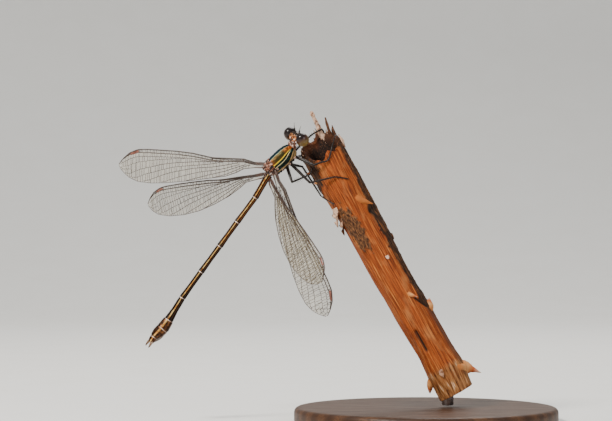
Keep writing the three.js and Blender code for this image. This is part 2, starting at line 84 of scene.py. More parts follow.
# Grain shared by every material: fractal noise, drawn out along the fibres by its stretch
grain_group = bpy.data.node_groups.new("grain", "ShaderNodeTree")
for socket_name, kind in (("Place", "Vector"), ("Stretch", "Vector"),
                          ("Scale", "Float"), ("Detail", "Float")):
    grain_group.interface.new_socket(socket_name, in_out="INPUT", socket_type="NodeSocket" + kind)
grain_group.interface.new_socket("Value", in_out="OUTPUT", socket_type="NodeSocketFloat")
given = put(grain_group, "NodeGroupInput").outputs
drawn_out = put(grain_group, "ShaderNodeVectorMath", {0: given["Place"], 1: given["Stretch"]},
                operation="MULTIPLY")
fractal = put(grain_group, "ShaderNodeTexNoise", {"Vector": drawn_out.outputs[0], "Scale": given["Scale"],
                                                  "Detail": given["Detail"]})
put(grain_group, "NodeGroupOutput", {"Value": fractal.outputs[0]})


def grain(tree, place, scale, detail=4.0, stretch=(1, 1, 1)):
    sockets = {"Place": place, "Stretch": stretch, "Scale": scale, "Detail": detail}
    return put(tree, "ShaderNodeGroup", sockets, node_tree=grain_group).outputs["Value"]


def ramp(tree, value, stops):
    made = put(tree, "ShaderNodeValToRGB", {"Fac": value})
    elements = made.color_ramp.elements
    while len(elements) < len(stops):
        elements.new(0.5)
    for element, (at, colour) in zip(elements, stops):
        element.position = at
        element.color = (*colour, 1) if len(colour) == 3 else colour
    return made.outputs["Color"]


def grey_ramp(tree, value, stops):
    return ramp(tree, value, [(at, (level, level, level)) for at, level in stops])


def blend(tree, share, first, second):
    ends = {0: share}
    for key, end in ((6, first), (7, second)):
        ends[key] = end if isinstance(end, bpy.types.NodeSocket) else (*end, 1)
    return put(tree, "ShaderNodeMix", ends, data_type="RGBA").outputs[2]


def stain(tree, tone, where, stops, colour):
    """A colour laid over the tone, as far as the stops say for each value of where."""
    return blend(tree, grey_ramp(tree, where, stops), tone, colour)


def relief(tree, height, depth, strength=1.0):
    sockets = {"Height": height, "Distance": depth * MM, "Strength": strength}
    return put(tree, "ShaderNodeBump", sockets).outputs[0]


def new_material(name, colour=(0.5, 0.5, 0.5), roughness=0.5, metallic=0.0):
    material = bpy.data.materials.new(name)
    material.use_nodes = True
    surface = material.node_tree.nodes["Principled BSDF"]
    surface.inputs["Base Color"].default_value = (*colour, 1)
    surface.inputs["Roughness"].default_value = roughness
    surface.inputs["Metallic"].default_value = metallic
    return material, material.node_tree, surface


def feed(tree, surface, **sources):
    for key, source in sources.items():
        tree.links.new(source, surface.inputs[key.replace("_", " ")])


def add_piece(name, shapes, material, nodes=()):
    """One object from (points in mm, faces, {value name: values}) shapes, on the frame."""
    points, faces, marks = [], [], {}
    for shape in shapes:
        start = len(points)
        places = [tuple(p) for p in shape[0]]
        points.extend(places)
        faces.extend(tuple(start + i for i in face) for face in shape[1])
        for key, values in (shape[2] if len(shape) > 2 else {}).items():
            marks.setdefault(key, {})[start] = values
    mesh = bpy.data.meshes.new(name)
    mesh.from_pydata([(x * MM, y * MM, z * MM) for x, y, z in points], [], faces)
    for key, runs in marks.items():
        row = np.zeros(len(points), dtype=np.float32)
        for start, values in runs.items():
            row[start:start + len(values)] = values
        mesh.attributes.new(key, "FLOAT", "POINT").data.foreach_set("value", row)
    mesh.materials.append(material)
    mesh.shade_smooth()
    piece = bpy.data.objects.new(name, mesh)
    bpy.context.scene.collection.objects.link(piece)
    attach(piece, "root")
    if nodes:
        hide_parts(*nodes)
    return piece


def skin_of(rows, sides):
    """Points and outward faces of a closed body lofted over rows of equal point count."""
    points = [tuple(p) for row in rows for p in row]
    faces = []
    for row in range(len(rows) - 1):
        for i in range(sides):
            a, b = row * sides + i, row * sides + (i + 1) % sides
            faces.append((a, b, b + sides, a + sides))
    for row, turned in ((0, True), (len(rows) - 1, False)):
        middle = np.mean(np.array(rows[row]), axis=0)
        points.append(tuple(middle))
        for i in range(sides):
            a, b = row * sides + i, row * sides + (i + 1) % sides
            faces.append((b, a, len(points) - 1) if turned else (a, b, len(points) - 1))
    cloud = np.array(points)
    first = np.array([face[:3] for face in faces])
    corners = cloud[first] - cloud.mean(axis=0)
    if np.einsum("ij,ij->i", corners[:, 0], np.cross(corners[:, 1], corners[:, 2])).sum() < 0:
        faces = [face[::-1] for face in faces]
    return points, faces


def ring_points(centre, side, up, half_width, half_height, sides):
    turn = np.arange(sides) * 2 * np.pi / sides
    return (np.array(centre) + np.outer(np.cos(turn) * half_width, side)
            + np.outer(np.sin(turn) * half_height, up))


base_profile = [(BASE_RADIUS - 0.35, 0.0), (BASE_RADIUS - 0.1, 0.1), (BASE_RADIUS, 0.35),
                (BASE_RADIUS, 1.75), (BASE_RADIUS - 0.08, 2.05), (BASE_RADIUS - 0.28, 2.32),
                (BASE_RADIUS - 0.55, 2.46), (BASE_RADIUS - 0.8, BASE_THICKNESS),
                (BASE_RADIUS - 2.0, BASE_THICKNESS)]
base_rows = [ring_points((0, 0, z), (1, 0, 0), (0, 1, 0), radius, radius, BASE_SIDES)
             for radius, z in base_profile]

wood, tree, surface = new_material("stand_wood", roughness=0.4)
place = millimetres(tree)
rings = put(tree, "ShaderNodeTexWave", {
    "Vector": put(tree, "ShaderNodeMapping", {"Vector": place, "Rotation": (0, 0, 0.3),
                                              "Scale": (0.12, 1.0, 1.0)}).outputs[0],
    "Scale": 0.11, "Distortion": 3.0, "Detail": 3.0, "Detail Scale": 1.2,
}, bands_direction="Y").outputs["Fac"]
pores = grain(tree, place, 1.0, 6.0, (0.25, 5.0, 5.0))
tone = blend(tree, rings, (0.040, 0.016, 0.007), (0.095, 0.040, 0.016))
tone = stain(tree, tone, pores, [(0.42, 0.0), (0.62, 0.75)], (0.03, 0.014, 0.008))
feed(tree, surface, Base_Color=tone,
     Roughness=grey_ramp(tree, pores, [(0.3, 0.42), (0.7, 0.62)]),
     Normal=relief(tree, pores, 0.03, 0.5))
surface.inputs["Specular IOR Level"].default_value = 0.2
surface.inputs["Coat Weight"].default_value = 0.08
surface.inputs["Coat Roughness"].default_value = 0.3
add_piece("base_disc", [skin_of(base_rows, BASE_SIDES)], wood, ("stand_base",))


# Stand rod: a short pin of drawn steel wire that stands in the base and
# goes up into a hole drilled in the cane. Its ends are chamfered, its skin lightly brushed.
ROD_X = 3.6
ROD_RADIUS = 1.0
ROD_FOOT = 2.8
ROD_TOP = 10.2
ROD_SIDES = 48

rod_profile = [(0.8, ROD_FOOT), (ROD_RADIUS, ROD_FOOT + 0.15), (ROD_RADIUS, ROD_TOP - 0.2),
               (0.75, ROD_TOP)]
rod_rows = [ring_points((ROD_X, 0, z), (1, 0, 0), (0, 1, 0), radius, radius, ROD_SIDES)
            for radius, z in rod_profile]
steel, tree, surface = new_material("brushed_steel", (0.55, 0.56, 0.58), 0.3, 1.0)
brushing = grain(tree, millimetres(tree), 2.2, 5.0, (0.6, 0.6, 14.0))
feed(tree, surface, Base_Color=blend(tree, brushing, (0.42, 0.43, 0.45), (0.66, 0.67, 0.69)),
     Roughness=grey_ramp(tree, brushing, [(0.3, 0.22), (0.7, 0.42)]),
     Normal=relief(tree, brushing, 0.01, 0.5))
add_piece("steel_pin", [skin_of(rod_rows, ROD_SIDES)], steel, ("stand_rod",))


# Cane: a dead thorny shoot, broken off at the top with a hollow painted dark as shade, and standing
# splinters.
# Most of its bark has peeled, which leaves streaked orange wood, one dark strip and a dark scab.
CANE_TOP = np.array((-17.33, 0.0, 45.33))
CANE_END = np.array((5.1, 0.0, 4.95))
CANE_LENGTH = float(np.linalg.norm(CANE_END - CANE_TOP))
CANE_UP = (CANE_TOP - CANE_END) / CANE_LENGTH
CANE_ACROSS = np.array((CANE_UP[2], 0.0, -CANE_UP[0]))
CANE_FRONT = np.array((0.0, -1.0, 0.0))
CANE_SIDES = 150
CANE_ROWS = 430
# The cane's middle line, as heights and places across, and its radius at distances down it
CANE_HEIGHTS = ((4.95, 9.17, 25.25, 45.33, 60.0), (5.1, 3.0, -6.17, -17.33, -25.5))
CANE_GIRTH = ((0, 8, 14, 22, 38.5, 41.6, 43.6, 47), (3.5, 3.4, 3.15, 3.0, 2.95, 3.25, 3.1, 2.95))
USUAL_RADIUS = 3.1
# The hollow at the top: depth below the rim and share of the cane's radius
HOLLOW = ((0.12, 0.84), (0.4, 0.78), (0.9, 0.72), (1.6, 0.68), (2.5, 0.62), (3.3, 0.55),
          (3.9, 0.38), (4.2, 0.15))


def cane_centre(down):
    z = CANE_TOP[2] - down * CANE_UP[2]
    return np.array((np.interp(z, *CANE_HEIGHTS), 0.0, z))


def on_cane(down, angle, lift=0.0):
    """A point a distance down the cane, an angle in degrees round from its front, off its skin."""
    reach = np.interp(down, *CANE_GIRTH) + lift
    turn = math.radians(angle)
    return (cane_centre(down) + CANE_ACROSS * reach * math.sin(turn)
            + CANE_FRONT * reach * math.cos(turn))


def rim_height(angle):
    """How far the broken rim stands above the cane's top mark, low in front and high behind."""
    jag = 0.35 * math.sin(5 * angle + 0.6) + 0.22 * math.sin(9 * angle)
    shreds = 0.35 * noise.noise((angle * 4.5, 3.1, 0.2)) + 0.2 * noise.noise((angle * 14, 1.0, 4.0))
    return 0.7 - 2.0 * math.cos(angle) + jag + shreds


def soft_step(value, low, high):
    share = min(max((value - low) / (high - low), 0.0), 1.0)
    return share * share * (3 - 2 * share)


def scab_cover(angle, down):
    """How much the dark scab of old bark covers this place, 0 to 1."""
    lean = angle + 33 - (down - 14) * 1.2
    ragged = 0.35 * noise.noise((angle * 0.09, down * 1.3, 5.0))
    ragged += 0.18 * noise.noise((angle * 0.3, down * 3, 1))
    reach = math.hypot((down - 14.1) / 4.6, lean / 28.0) + ragged
    return 1 - soft_step(reach, 0.86, 1.0)


def strip_cover(angle, down):
    """The dark strip of bark left down the right side, and the dark shoulder at the top left."""
    ragged = 9 * noise.noise((down * 0.9, 5.0, 1.0)) + 4 * noise.noise((down * 3.1, 1.0, 6.0))
    shoulder = np.interp(down, (-3, 2, 4.5, 7.5), (-22, -34, -48, -88)) + ragged
    if angle < 0:
        lower_edge = down + 2.2 * noise.noise((angle * 0.07, 2.0, 8.0))
        lower_edge += 0.9 * noise.noise((angle * 0.25, 4.0, 8.0))
        return (1 - soft_step(angle, shoulder - 3, shoulder)) * (1 - soft_step(lower_edge, 6.3, 7.3))
    edge = np.interp(down, (0, 8, 14, 20, 30, 34), (50, 47, 40, 37, 44, 75))
    edge += 7 * noise.noise((down * 0.7, 2.0, 0.0)) + 3 * noise.noise((down * 2.6, 7.0, 0.0))
    start = soft_step(angle, edge, edge + 3) * (1 - soft_step(angle, 168, 176))
    return start * (1 - soft_step(down, 30.0, 34.0))


def cane_surface():
    """The cane's skin with its fibres, scab, strip, scar and swollen node."""
    rows = []
    marks = {key: [] for key in ("scab", "strip", "hollow", "round_mm", "down_mm", "crack")}
    turns = [2 * math.pi * i / CANE_SIDES for i in range(CANE_SIDES)]

    def ring(down, scale, share, hollow):
        row = []
        for turn in turns:
            angle = math.degrees(turn) if turn <= math.pi else math.degrees(turn) - 360
            around = (math.cos(turn), math.sin(turn))
            flute = 1 + 0.025 * math.sin(3 * turn + down * 0.25) + 0.012 * math.sin(7 * turn)
            scab = scab_cover(angle, down) * (1 - hollow)
            strip = strip_cover(angle, down) * (1 - hollow)
            fibre = noise.noise((around[0] * 5.5, around[1] * 5.5, down * 0.16))
            fine = noise.noise((around[0] * 17, around[1] * 17, down * 0.4 + 9))
            lump = noise.noise((around[0] * 1.6, around[1] * 1.6, down * 0.13 + 4))
            bark = noise.noise((around[0] * 9, around[1] * 9, down * 1.6))
            slit = math.exp(-((angle + 24) / 5.0) ** 2) * (1 - soft_step(abs(down - 35.6), 1.6, 2.3))
            gash = math.exp(-((angle - 47) / 9.0) ** 2) * math.exp(-((down - 12.7) / 0.8) ** 2)
            slot_line = math.exp(-((angle - 31 - (down - 28.9) * 11.8) / 5.0) ** 2)
            slot_line *= 1 - soft_step(abs(down - 30.0), 1.0, 1.5)
            dent = 0.34 * slit + 0.55 * gash + 0.3 * slot_line
            lift = 0.10 * fibre + 0.05 * fine + 0.12 * lump
            lift += (0.16 + 0.09 * bark) * scab + (0.12 + 0.12 * bark + 0.05 * fine) * strip - dent
            girth = np.interp(max(down, 0), *CANE_GIRTH) * flute
            radius = (girth + lift * (1 - 0.7 * hollow)) * scale
            row.append(cane_centre(down - rim_height(turn) * share)
                       + CANE_ACROSS * radius * math.sin(turn) + CANE_FRONT * radius * math.cos(turn))
            marks["scab"].append(scab)
            marks["strip"].append(strip)
            marks["hollow"].append(hollow)
            marks["round_mm"].append(math.radians(angle) * USUAL_RADIUS)
            marks["down_mm"].append(down)
            marks["crack"].append(min(slit + gash + slot_line, 1.0))
        rows.append(row)

    ring(CANE_LENGTH, 0.5, 0, 0.4)
    ring(CANE_LENGTH, 0.93, 0, 0.3)
    for down in np.linspace(CANE_LENGTH, 0.0, CANE_ROWS):
        share = float(np.interp(down, (0, 1.6, 4, 8), (1.0, 0.8, 0.4, 0.0)))
        ring(float(down), 1.0 if down > 0.3 else 0.96, share, 0.0)
    for depth, scale in HOLLOW:
        ring(depth, scale, float(np.interp(depth, (0, 1.4, 3.4, 4.2), (1, 0.9, 0.6, 0.3))),
             min(1.0, 0.25 + depth * 0.6))
    points, faces = skin_of(rows, CANE_SIDES)
    for values in marks.values():
        values.extend([values[-1], values[-1]])
    return points, faces, marks


def curve_through(stops, steps):
    """A smooth run of points through the stops, which may carry a radius as a fourth number."""
    path = np.array(stops, dtype=float)
    ends = np.vstack((2 * path[0] - path[1], path, 2 * path[-1] - path[-2]))
    run = []
    for i in range(1, len(ends) - 2):
        before, here, there, after = ends[i - 1], ends[i], ends[i + 1], ends[i + 2]
        for step in range(steps):
            t = step / steps
            run.append(0.5 * (2 * here + (there - before) * t
                              + (2 * before - 5 * here + 4 * there - after) * t * t
                              + (3 * here - before - 3 * there + after) * t ** 3))
    run.append(path[-1])
    return np.array(run)


def unit(arrow):
    return arrow / np.linalg.norm(arrow)


def tube(stops, radii, sides=12, steps=5, wobble=0.0, seed=0):
    """A tapered tube with rounded ends along a smooth curve."""
    run = curve_through([(*p, r) for p, r in zip(stops, radii)], steps)
    path, sizes = run[:, :3], np.maximum(run[:, 3], 0.004)
    first, last = unit(path[0] - path[1]), unit(path[-1] - path[-2])
    path = np.vstack((path[0] + first * sizes[0] * 0.5, path, path[-1] + last * sizes[-1] * 0.6))
    sizes = np.concatenate(([sizes[0] * 0.6], sizes, [sizes[-1] * 0.5]))
    rows, side = [], None
    for i, middle in enumerate(path):
        along = unit(path[min(i + 1, len(path) - 1)] - path[max(i - 1, 0)])
        if side is None:
            side = np.array((0.0, 1.0, 0.0)) if abs(along[1]) < 0.9 else np.array((1.0, 0.0, 0.0))
        side = unit(side - along * side.dot(along))
        row = ring_points(middle, side, np.cross(along, side), sizes[i], sizes[i], sides)
        if wobble:
            for k in range(sides):
                push = noise.noise(Vector(row[k]) * 2.2 + Vector((seed, 0, 0)))
                row[k] = middle + (row[k] - middle) * (1 + wobble * push)
        rows.append(row)
    return skin_of(rows, sides)


def with_marks(shape, **values):
    """The same shape, with one value of each name at all its points."""
    count = len(shape[0])
    return shape[0], shape[1], {key: [value] * count for key, value in values.items()}


cane_parts = [cane_surface()]


# Thorns and buds: stops (mm down, degrees round, mm off the skin), radii, seed and tip's paleness
THORNS = (
    (((43.1, 90, -1.5), (43.2, 90, -0.35), (43.5, 90, 0.3), (44.2, 90, 1.1), (45.3, 90, 2.1)),
     (1.85, 1.6, 1.05, 0.46, 0.05), 1, 1.0),
    (((31.6, 86, -1.1), (31.2, 86, -0.2), (30.6, 86, 0.3), (30.2, 86, 0.62)),
     (1.5, 0.95, 0.45, 0.08), 2, 1.0),
    (((27.4, 12, -0.75), (27.9, 19, -0.1), (28.5, 27, 0.28), (28.9, 33, 0.38)),
     (0.7, 0.42, 0.22, 0.06), 3, 1.0),
    (((8.9, 12, -1.1), (10.2, 28, -0.52), (11.1, 44, -0.08), (11.9, 60, 0.22)),
     (0.9, 0.66, 0.34, 0.07), 4, 0.5),
    (((41.9, 34, -0.9), (42.6, 56, -0.62), (43.2, 80, -0.4), (43.6, 88, 0.1)),
     (0.8, 0.92, 0.85, 0.5), 9, 1.0),
    (((42.2, -92, -0.9), (43.0, -92, 0.25), (44.1, -92, 0.95)), (0.85, 0.62, 0.12), 5, 1.0),
    (((2.6, -88, -0.7), (2.4, -88, 0.15), (2.2, -88, 0.65)), (0.5, 0.25, 0.06), 6, 1.0),
    (((4.4, -84, -0.7), (4.35, -84, 0.1), (4.3, -84, 0.5)), (0.45, 0.22, 0.06), 7, 1.0),
)
for stops, radii, seed, pale_tip in THORNS:
    shape = tube([on_cane(*stop) for stop in stops], radii, 16, 6, 0.12, seed)
    height = np.linspace(0.0, 1.0, len(shape[0]))
    cane_parts.append((*shape, {"thorn": 0.3 + (pale_tip - 0.3) * height, "round_mm": height * 2.0,
                                "down_mm": [seed] * len(height)}))


def add_splinter(stops, radii, pale, seed):
    shape = tube([on_cane(*stop) for stop in stops], radii, 10, 8, 0.45, seed)
    cane_parts.append(with_marks(shape, splinter=pale, round_mm=seed * 1.3, down_mm=seed * 2.0))


# Splinters of the broken end: stops as for the thorns, radii, paleness and seed
SPLINTERS = (
    (((1.6, 158, -0.5), (-0.4, 157, -0.5), (-2.2, 156, -0.52), (-3.6, 153, -0.5),
      (-4.9, 150, -0.62), (-6.4, 147, -0.6)), (0.62, 0.55, 0.55, 0.42, 0.34, 0.2), 1.0, 1),
    (((-5.7, 148.5, -0.62), (-6.2, 147.5, -0.6), (-6.45, 147, -0.6)), (0.3, 0.4, 0.3), 0.95, 8),
    (((-3.4, 152, -0.35), (-5.0, 149, -0.35), (-6.2, 146, -0.45)), (0.2, 0.16, 0.08), 0.85, 2),
    (((1.4, 128, -0.5), (-1.0, 125, -0.5), (-2.4, 122, -0.4), (-4.5, 118, 0.05)),
     (0.5, 0.36, 0.28, 0.12), 0.22, 3),
    (((1.0, 100, -0.5), (-1.6, 98, -0.35), (-2.8, 96, 0.0)), (0.48, 0.3, 0.08), 0.05, 4),
    (((0.8, 112, -0.4), (-1.4, 110, -0.3), (-2.3, 109, -0.1)), (0.36, 0.22, 0.07), 0.1, 5),
    (((1.3, 88, -0.2), (0.5, 88, 0.18), (-0.2, 89, 0.3)), (0.26, 0.3, 0.16), 1.0, 6),
    (((1.0, 80, -0.1), (0.0, 80, 0.2), (-0.9, 81, 0.22)), (0.2, 0.2, 0.08), 0.9, 7),
)
for splinter_sizes in SPLINTERS:
    add_splinter(*splinter_sizes)

# Fine shreds stand all along the torn rim
RIM_SHREDS = 22
shreds = random.Random(11)
for i in range(RIM_SHREDS):
    angle = shreds.uniform(60, 300)
    foot = -rim_height(math.radians(angle)) * 0.9
    tall = shreds.uniform(0.4, 1.3)
    lean = shreds.uniform(-6, 6)
    add_splinter([(foot + 0.5, angle, -0.35), (foot - tall * 0.5, angle + lean * 0.5, -0.3),
                  (foot - tall, angle + lean, -0.25)],
                 (shreds.uniform(0.12, 0.2), 0.1, 0.03), shreds.choice((0.1, 0.3, 0.9)), 10 + i)


def thin_sheet(upper, lower, deep, wide):
    """A closed sheet between two grids of points, each of so many rows and columns."""
    faces = []
    under = len(upper)
    for row in range(deep - 1):
        for column in range(wide - 1):
            a, b = row * wide + column, row * wide + column + 1
            faces.append((a, b, b + wide, a + wide))
            faces.append((under + a, under + a + wide, under + b + wide, under + b))
    rim = list(range(wide))
    rim += [row * wide + wide - 1 for row in range(1, deep)]
    rim += [(deep - 1) * wide + column for column in range(wide - 2, -1, -1)]
    rim += [row * wide for row in range(deep - 2, 0, -1)]
    for a, b in zip(rim, rim[1:] + rim[:1]):
        faces.append((b, a, under + a, under + b))
    return upper + lower, faces


FLAKE_CELLS = 7
FLAKE_HALF_THICKNESS = 0.04


def bark_flake(down, angle, long, wide, curl, pale, seed):
    """A thin curled scrap of bark that lifts off the skin at its lower end."""
    upper, lower = [], []
    for i in range(FLAKE_CELLS + 1):
        for j in range(FLAKE_CELLS + 1):
            s, t = i / FLAKE_CELLS, j / FLAKE_CELLS
            shape = 1 - 0.45 * abs(2 * t - 1) ** 2 * s + 0.25 * noise.noise((t * 3, s * 2, seed))
            rise = 0.06 + curl * s * s + 0.05 * noise.noise((s * 4, t * 4, seed + 3.0))
            turn = angle + (t - 0.5) * wide / 3.1 * 57.3
            for lift, side in ((FLAKE_HALF_THICKNESS, upper), (-FLAKE_HALF_THICKNESS, lower)):
                side.append(tuple(on_cane(down + s * long * shape, turn, rise + lift)))
    sheet = thin_sheet(upper, lower, FLAKE_CELLS + 1, FLAKE_CELLS + 1)
    cane_parts.append(with_marks(sheet, splinter=pale, round_mm=seed, down_mm=down))


# Scraps of bark: mm down, degrees round, length, width, curl, paleness and seed
BARK_SCRAPS = (
    (9.5, -66, 1.6, 1.9, 0.55, 1.0, 1.0), (10.2, -78, 2.3, 1.5, 0.75, 0.95, 2.0),
    (11.5, -64, 1.5, 1.0, 0.5, 0.85, 3.0), (12.4, -78, 1.8, 0.8, 0.55, 0.3, 4.0),
    (0.5, 78, 1.0, 0.8, 0.15, 0.5, 5.0), (41.2, -16, 1.3, 0.7, 0.08, 0.75, 7.0),
    (20.5, 15, 0.7, 0.55, 0.08, 1.0, 9.0), (16.4, 120, 2.6, 1.6, 0.5, 0.4, 10.0),
    (24.0, 150, 3.4, 1.9, 0.5, 0.3, 11.0), (33.5, -140, 2.8, 1.7, 0.45, 0.4, 12.0),
    (5.5, 160, 3.2, 1.8, 0.5, 0.5, 13.0),
)
for scrap in BARK_SCRAPS:
    bark_flake(*scrap)


def reckon(tree, operation, first, second=0.0):
    return put(tree, "ShaderNodeMath", {0: first, 1: second}, operation=operation).outputs[0]


def measured(tree, name):
    """A value that the mesh carries at each of its points, 0 where it has none."""
    return put(tree, "ShaderNodeAttribute", attribute_name=name).outputs["Fac"]


cane_skin, tree, surface = new_material("peeled_cane", roughness=0.7)
round_mm = measured(tree, "round_mm")
down_mm = measured(tree, "down_mm")
around = put(tree, "ShaderNodeCombineXYZ", {0: round_mm, 1: down_mm}).outputs[0]
streaks = grain(tree, around, 1.0, 6.0, (5.0, 0.16, 1.0))
threads = grain(tree, around, 1.0, 5.0, (15.0, 0.3, 1.0))
bark_fibres = grain(tree, around, 1.0, 5.0, (7.0, 1.4, 1.0))
strip_lines = grain(tree, around, 1.0, 6.0, (8.0, 0.35, 1.0))
blotches = grain(tree, around, 1.0, 4.0, (0.55, 0.22, 1.0))
specks = grain(tree, millimetres(tree), 4.5, 4.0)
wood_tone = ramp(tree, streaks, [(0.32, (0.085, 0.014, 0.002)), (0.44, (0.25, 0.046, 0.006)),
                                 (0.58, (0.37, 0.088, 0.012)), (0.72, (0.54, 0.20, 0.045))])
wood_tone = stain(tree, wood_tone, threads, [(0.40, 0.85), (0.53, 0.0)], (0.075, 0.014, 0.003))
wood_tone = stain(tree, wood_tone, blotches, [(0.52, 0.0), (0.76, 0.4)], (0.60, 0.26, 0.08))
# Painted shade: the cane's right side is darkened towards its far edge, as the side turned from the light.
rightward_for_painted_light = reckon(tree, "MULTIPLY", round_mm, 0.2)
wood_tone = stain(tree, wood_tone, rightward_for_painted_light, [(0.48, 0.0), (0.66, 0.85)], (0.085, 0.024, 0.008))
bark_tone = ramp(tree, strip_lines, [(0.36, (0.003, 0.001, 0.0005)), (0.50, (0.024, 0.009, 0.003)),
                                     (0.60, (0.12, 0.040, 0.010)), (0.74, (0.28, 0.11, 0.035))])
scab_tone = ramp(tree, bark_fibres, [(0.34, (0.010, 0.004, 0.002)), (0.48, (0.070, 0.028, 0.011)),
                                     (0.66, (0.22, 0.090, 0.032))])
node_zone = grey_ramp(tree, reckon(tree, "MULTIPLY", down_mm, 0.02),
                      [(0.815, 0.0), (0.835, 0.75), (0.86, 0.55), (0.88, 0.8)])
node_tone = ramp(tree, grain(tree, around, 1.0, 6.0, (2.4, 0.35, 1.0)),
                 [(0.36, (0.020, 0.008, 0.003)), (0.47, (0.22, 0.090, 0.028)), (0.60, (0.42, 0.20, 0.07)),
                  (0.70, (0.75, 0.54, 0.34))])
tone = blend(tree, node_zone, wood_tone, node_tone)
tone = blend(tree, measured(tree, "scab"), tone, scab_tone)
tone = blend(tree, measured(tree, "strip"), tone, bark_tone)
# Cracks, the slit and the scar's hole are dents painted near-black: painted shade in the recesses.
tone = blend(tree, measured(tree, "crack"), tone, (0.012, 0.007, 0.004))
# Inside the hollow the wood is painted near-black: painted shade in the cavity.
tone = blend(tree, measured(tree, "hollow"), tone,
             ramp(tree, specks, [(0.35, (0.004, 0.002, 0.001)), (0.60, (0.024, 0.009, 0.004)),
                                 (0.72, (0.11, 0.045, 0.018))]))
splinter = measured(tree, "splinter")
splinter_tone = ramp(tree, splinter, [(0.0, (0.012, 0.006, 0.003)), (0.3, (0.085, 0.030, 0.012)),
                                      (0.6, (0.34, 0.15, 0.07)), (1.0, (0.64, 0.42, 0.29))])
splinter_marks = grain(tree, millimetres(tree), 1.6, 3.0)
splinter_tone = stain(tree, splinter_tone, splinter_marks, [(0.50, 0.0), (0.62, 0.85)],
                      (0.12, 0.045, 0.020))
tone = blend(tree, grey_ramp(tree, splinter, [(0.0, 0.0), (0.02, 1.0)]), tone, splinter_tone)
thorn = measured(tree, "thorn")
thorn_tone = ramp(tree, thorn, [(0.3, (0.38, 0.10, 0.016)), (0.5, (0.42, 0.135, 0.03)),
                                (0.64, (0.58, 0.27, 0.095)), (0.8, (0.42, 0.085, 0.018)),
                                (0.97, (0.60, 0.44, 0.32))])
tone = blend(tree, grey_ramp(tree, thorn, [(0.0, 0.0), (0.02, 1.0)]), tone, thorn_tone)
height = reckon(tree, "MULTIPLY", bark_fibres, 0.7)
for layer, share in ((threads, 0.6), (specks, 0.5)):
    height = reckon(tree, "ADD", height, reckon(tree, "MULTIPLY", layer, share))
feed(tree, surface, Base_Color=tone,
     Roughness=grey_ramp(tree, threads, [(0.3, 0.62), (0.7, 0.86)]),
     Normal=relief(tree, height, 0.09, 0.8))
surface.inputs["Specular IOR Level"].default_value = 0.2
add_piece("cane", cane_parts, cane_skin, ("perch_stem",))


# Thorax: the strong box that carries the legs and wings, metallic bronze and teal.
# Pale lines run down its keel and its seams, and small cream plates sit about the wing hinges.
THORAX_CENTRE = np.array((-24.05, -2.5, 43.7))
THORAX_HALF_WIDTH = 1.35
THORAX_HALF_HEIGHT = 1.875
slope, roll = math.radians(42.5), math.radians(37)
FORWARD = np.array((math.cos(slope), 0.0, math.sin(slope)))
ACROSS = np.array((math.sin(slope), 0.0, -math.cos(slope)))
RIGHT = ACROSS * math.cos(roll) + CANE_FRONT * math.sin(roll)
DORSAL = CANE_FRONT * math.cos(roll) - ACROSS * math.sin(roll)
THORAX_SIZES = ((-3.35, -3.0, -2.4, -1.5, -0.4, 0.8, 1.7, 2.3, 2.65, 2.75),
                (0.42, 0.66, 0.84, 0.96, 1.0, 1.0, 0.93, 0.78, 0.58, 0.4))


def on_thorax(front, angle, lift=0.0):
    """A point on the thorax: mm ahead of its middle, degrees from its back round to its right."""
    turn = math.radians(90 - angle)
    x = math.copysign(abs(math.cos(turn)) ** 0.85, math.cos(turn))
    z = math.sin(turn)
    narrow = 1 + 0.22 * z if z < 0 else 1
    size = np.interp(front, *THORAX_SIZES)
    return (THORAX_CENTRE + FORWARD * front + RIGHT * x * narrow * (THORAX_HALF_WIDTH * size + lift)
            + DORSAL * z * (THORAX_HALF_HEIGHT * size + lift))


def closed_skin(rows, sides, marks):
    """A closed body over the rows, whose marks reach the two end points too."""
    for values in marks.values():
        values.extend([values[0], values[-1]])
    return (*skin_of(rows, sides), marks)


def ridge(value, centre, width):
    """A smooth ridge, 1 high at its centre."""
    return math.exp(-((value - centre) / width) ** 2)


def thorax_surface():
    sides, rows = 180, []
    marks = {"side_deg": [], "front_mm": []}
    for front in np.concatenate((np.linspace(-3.35, -2.4, 24), np.linspace(-2.35, 2.2, 90),
                                 np.linspace(2.24, 2.75, 20))):
        row = []
        for i in range(sides):
            angle = 360 * i / sides - 180
            side = abs(angle)
            lift = 0.02 * ridge(angle, 0, 1.2)
            lift -= (0.05 * ridge(side, 47, 2.4) + 0.05 * ridge(side, 66, 2.2)
                     + 0.05 * ridge(side, 101, 2.5))
            lift += 0.03 * ridge(side, 56, 6) + 0.04 * ridge(side, 84, 12)
            lift -= 0.05 * ridge(front + side * 0.012, 2.25, 0.09)
            lift -= 0.06 * ridge(front - side * 0.008, -1.75, 0.10)
            lift += 0.035 * noise.noise((angle * 0.05, front * 1.4, 2.0))
            row.append(on_thorax(front, angle, lift - 0.02))
            drawn_in = 1 + 0.10 * max(front + 0.2, 0) ** 2 * soft_step(side, 15, 45) * (side < 110)
            marks["side_deg"].append(angle * drawn_in)
            marks["front_mm"].append(front)
        rows.append(row)
    return closed_skin(rows, sides, marks)


def egg(centre, axes, halves, sides=24, rows=16):
    """A rounded body with three half sizes along three axes."""
    layers = []
    for row in range(1, rows):
        angle = math.pi * row / rows
        middle = np.array(centre) - np.array(axes[0]) * halves[0] * math.cos(angle)
        size = math.sin(angle)
        layers.append(ring_points(middle, axes[1], axes[2], halves[1] * size, halves[2] * size, sides))
    return skin_of(layers, sides)


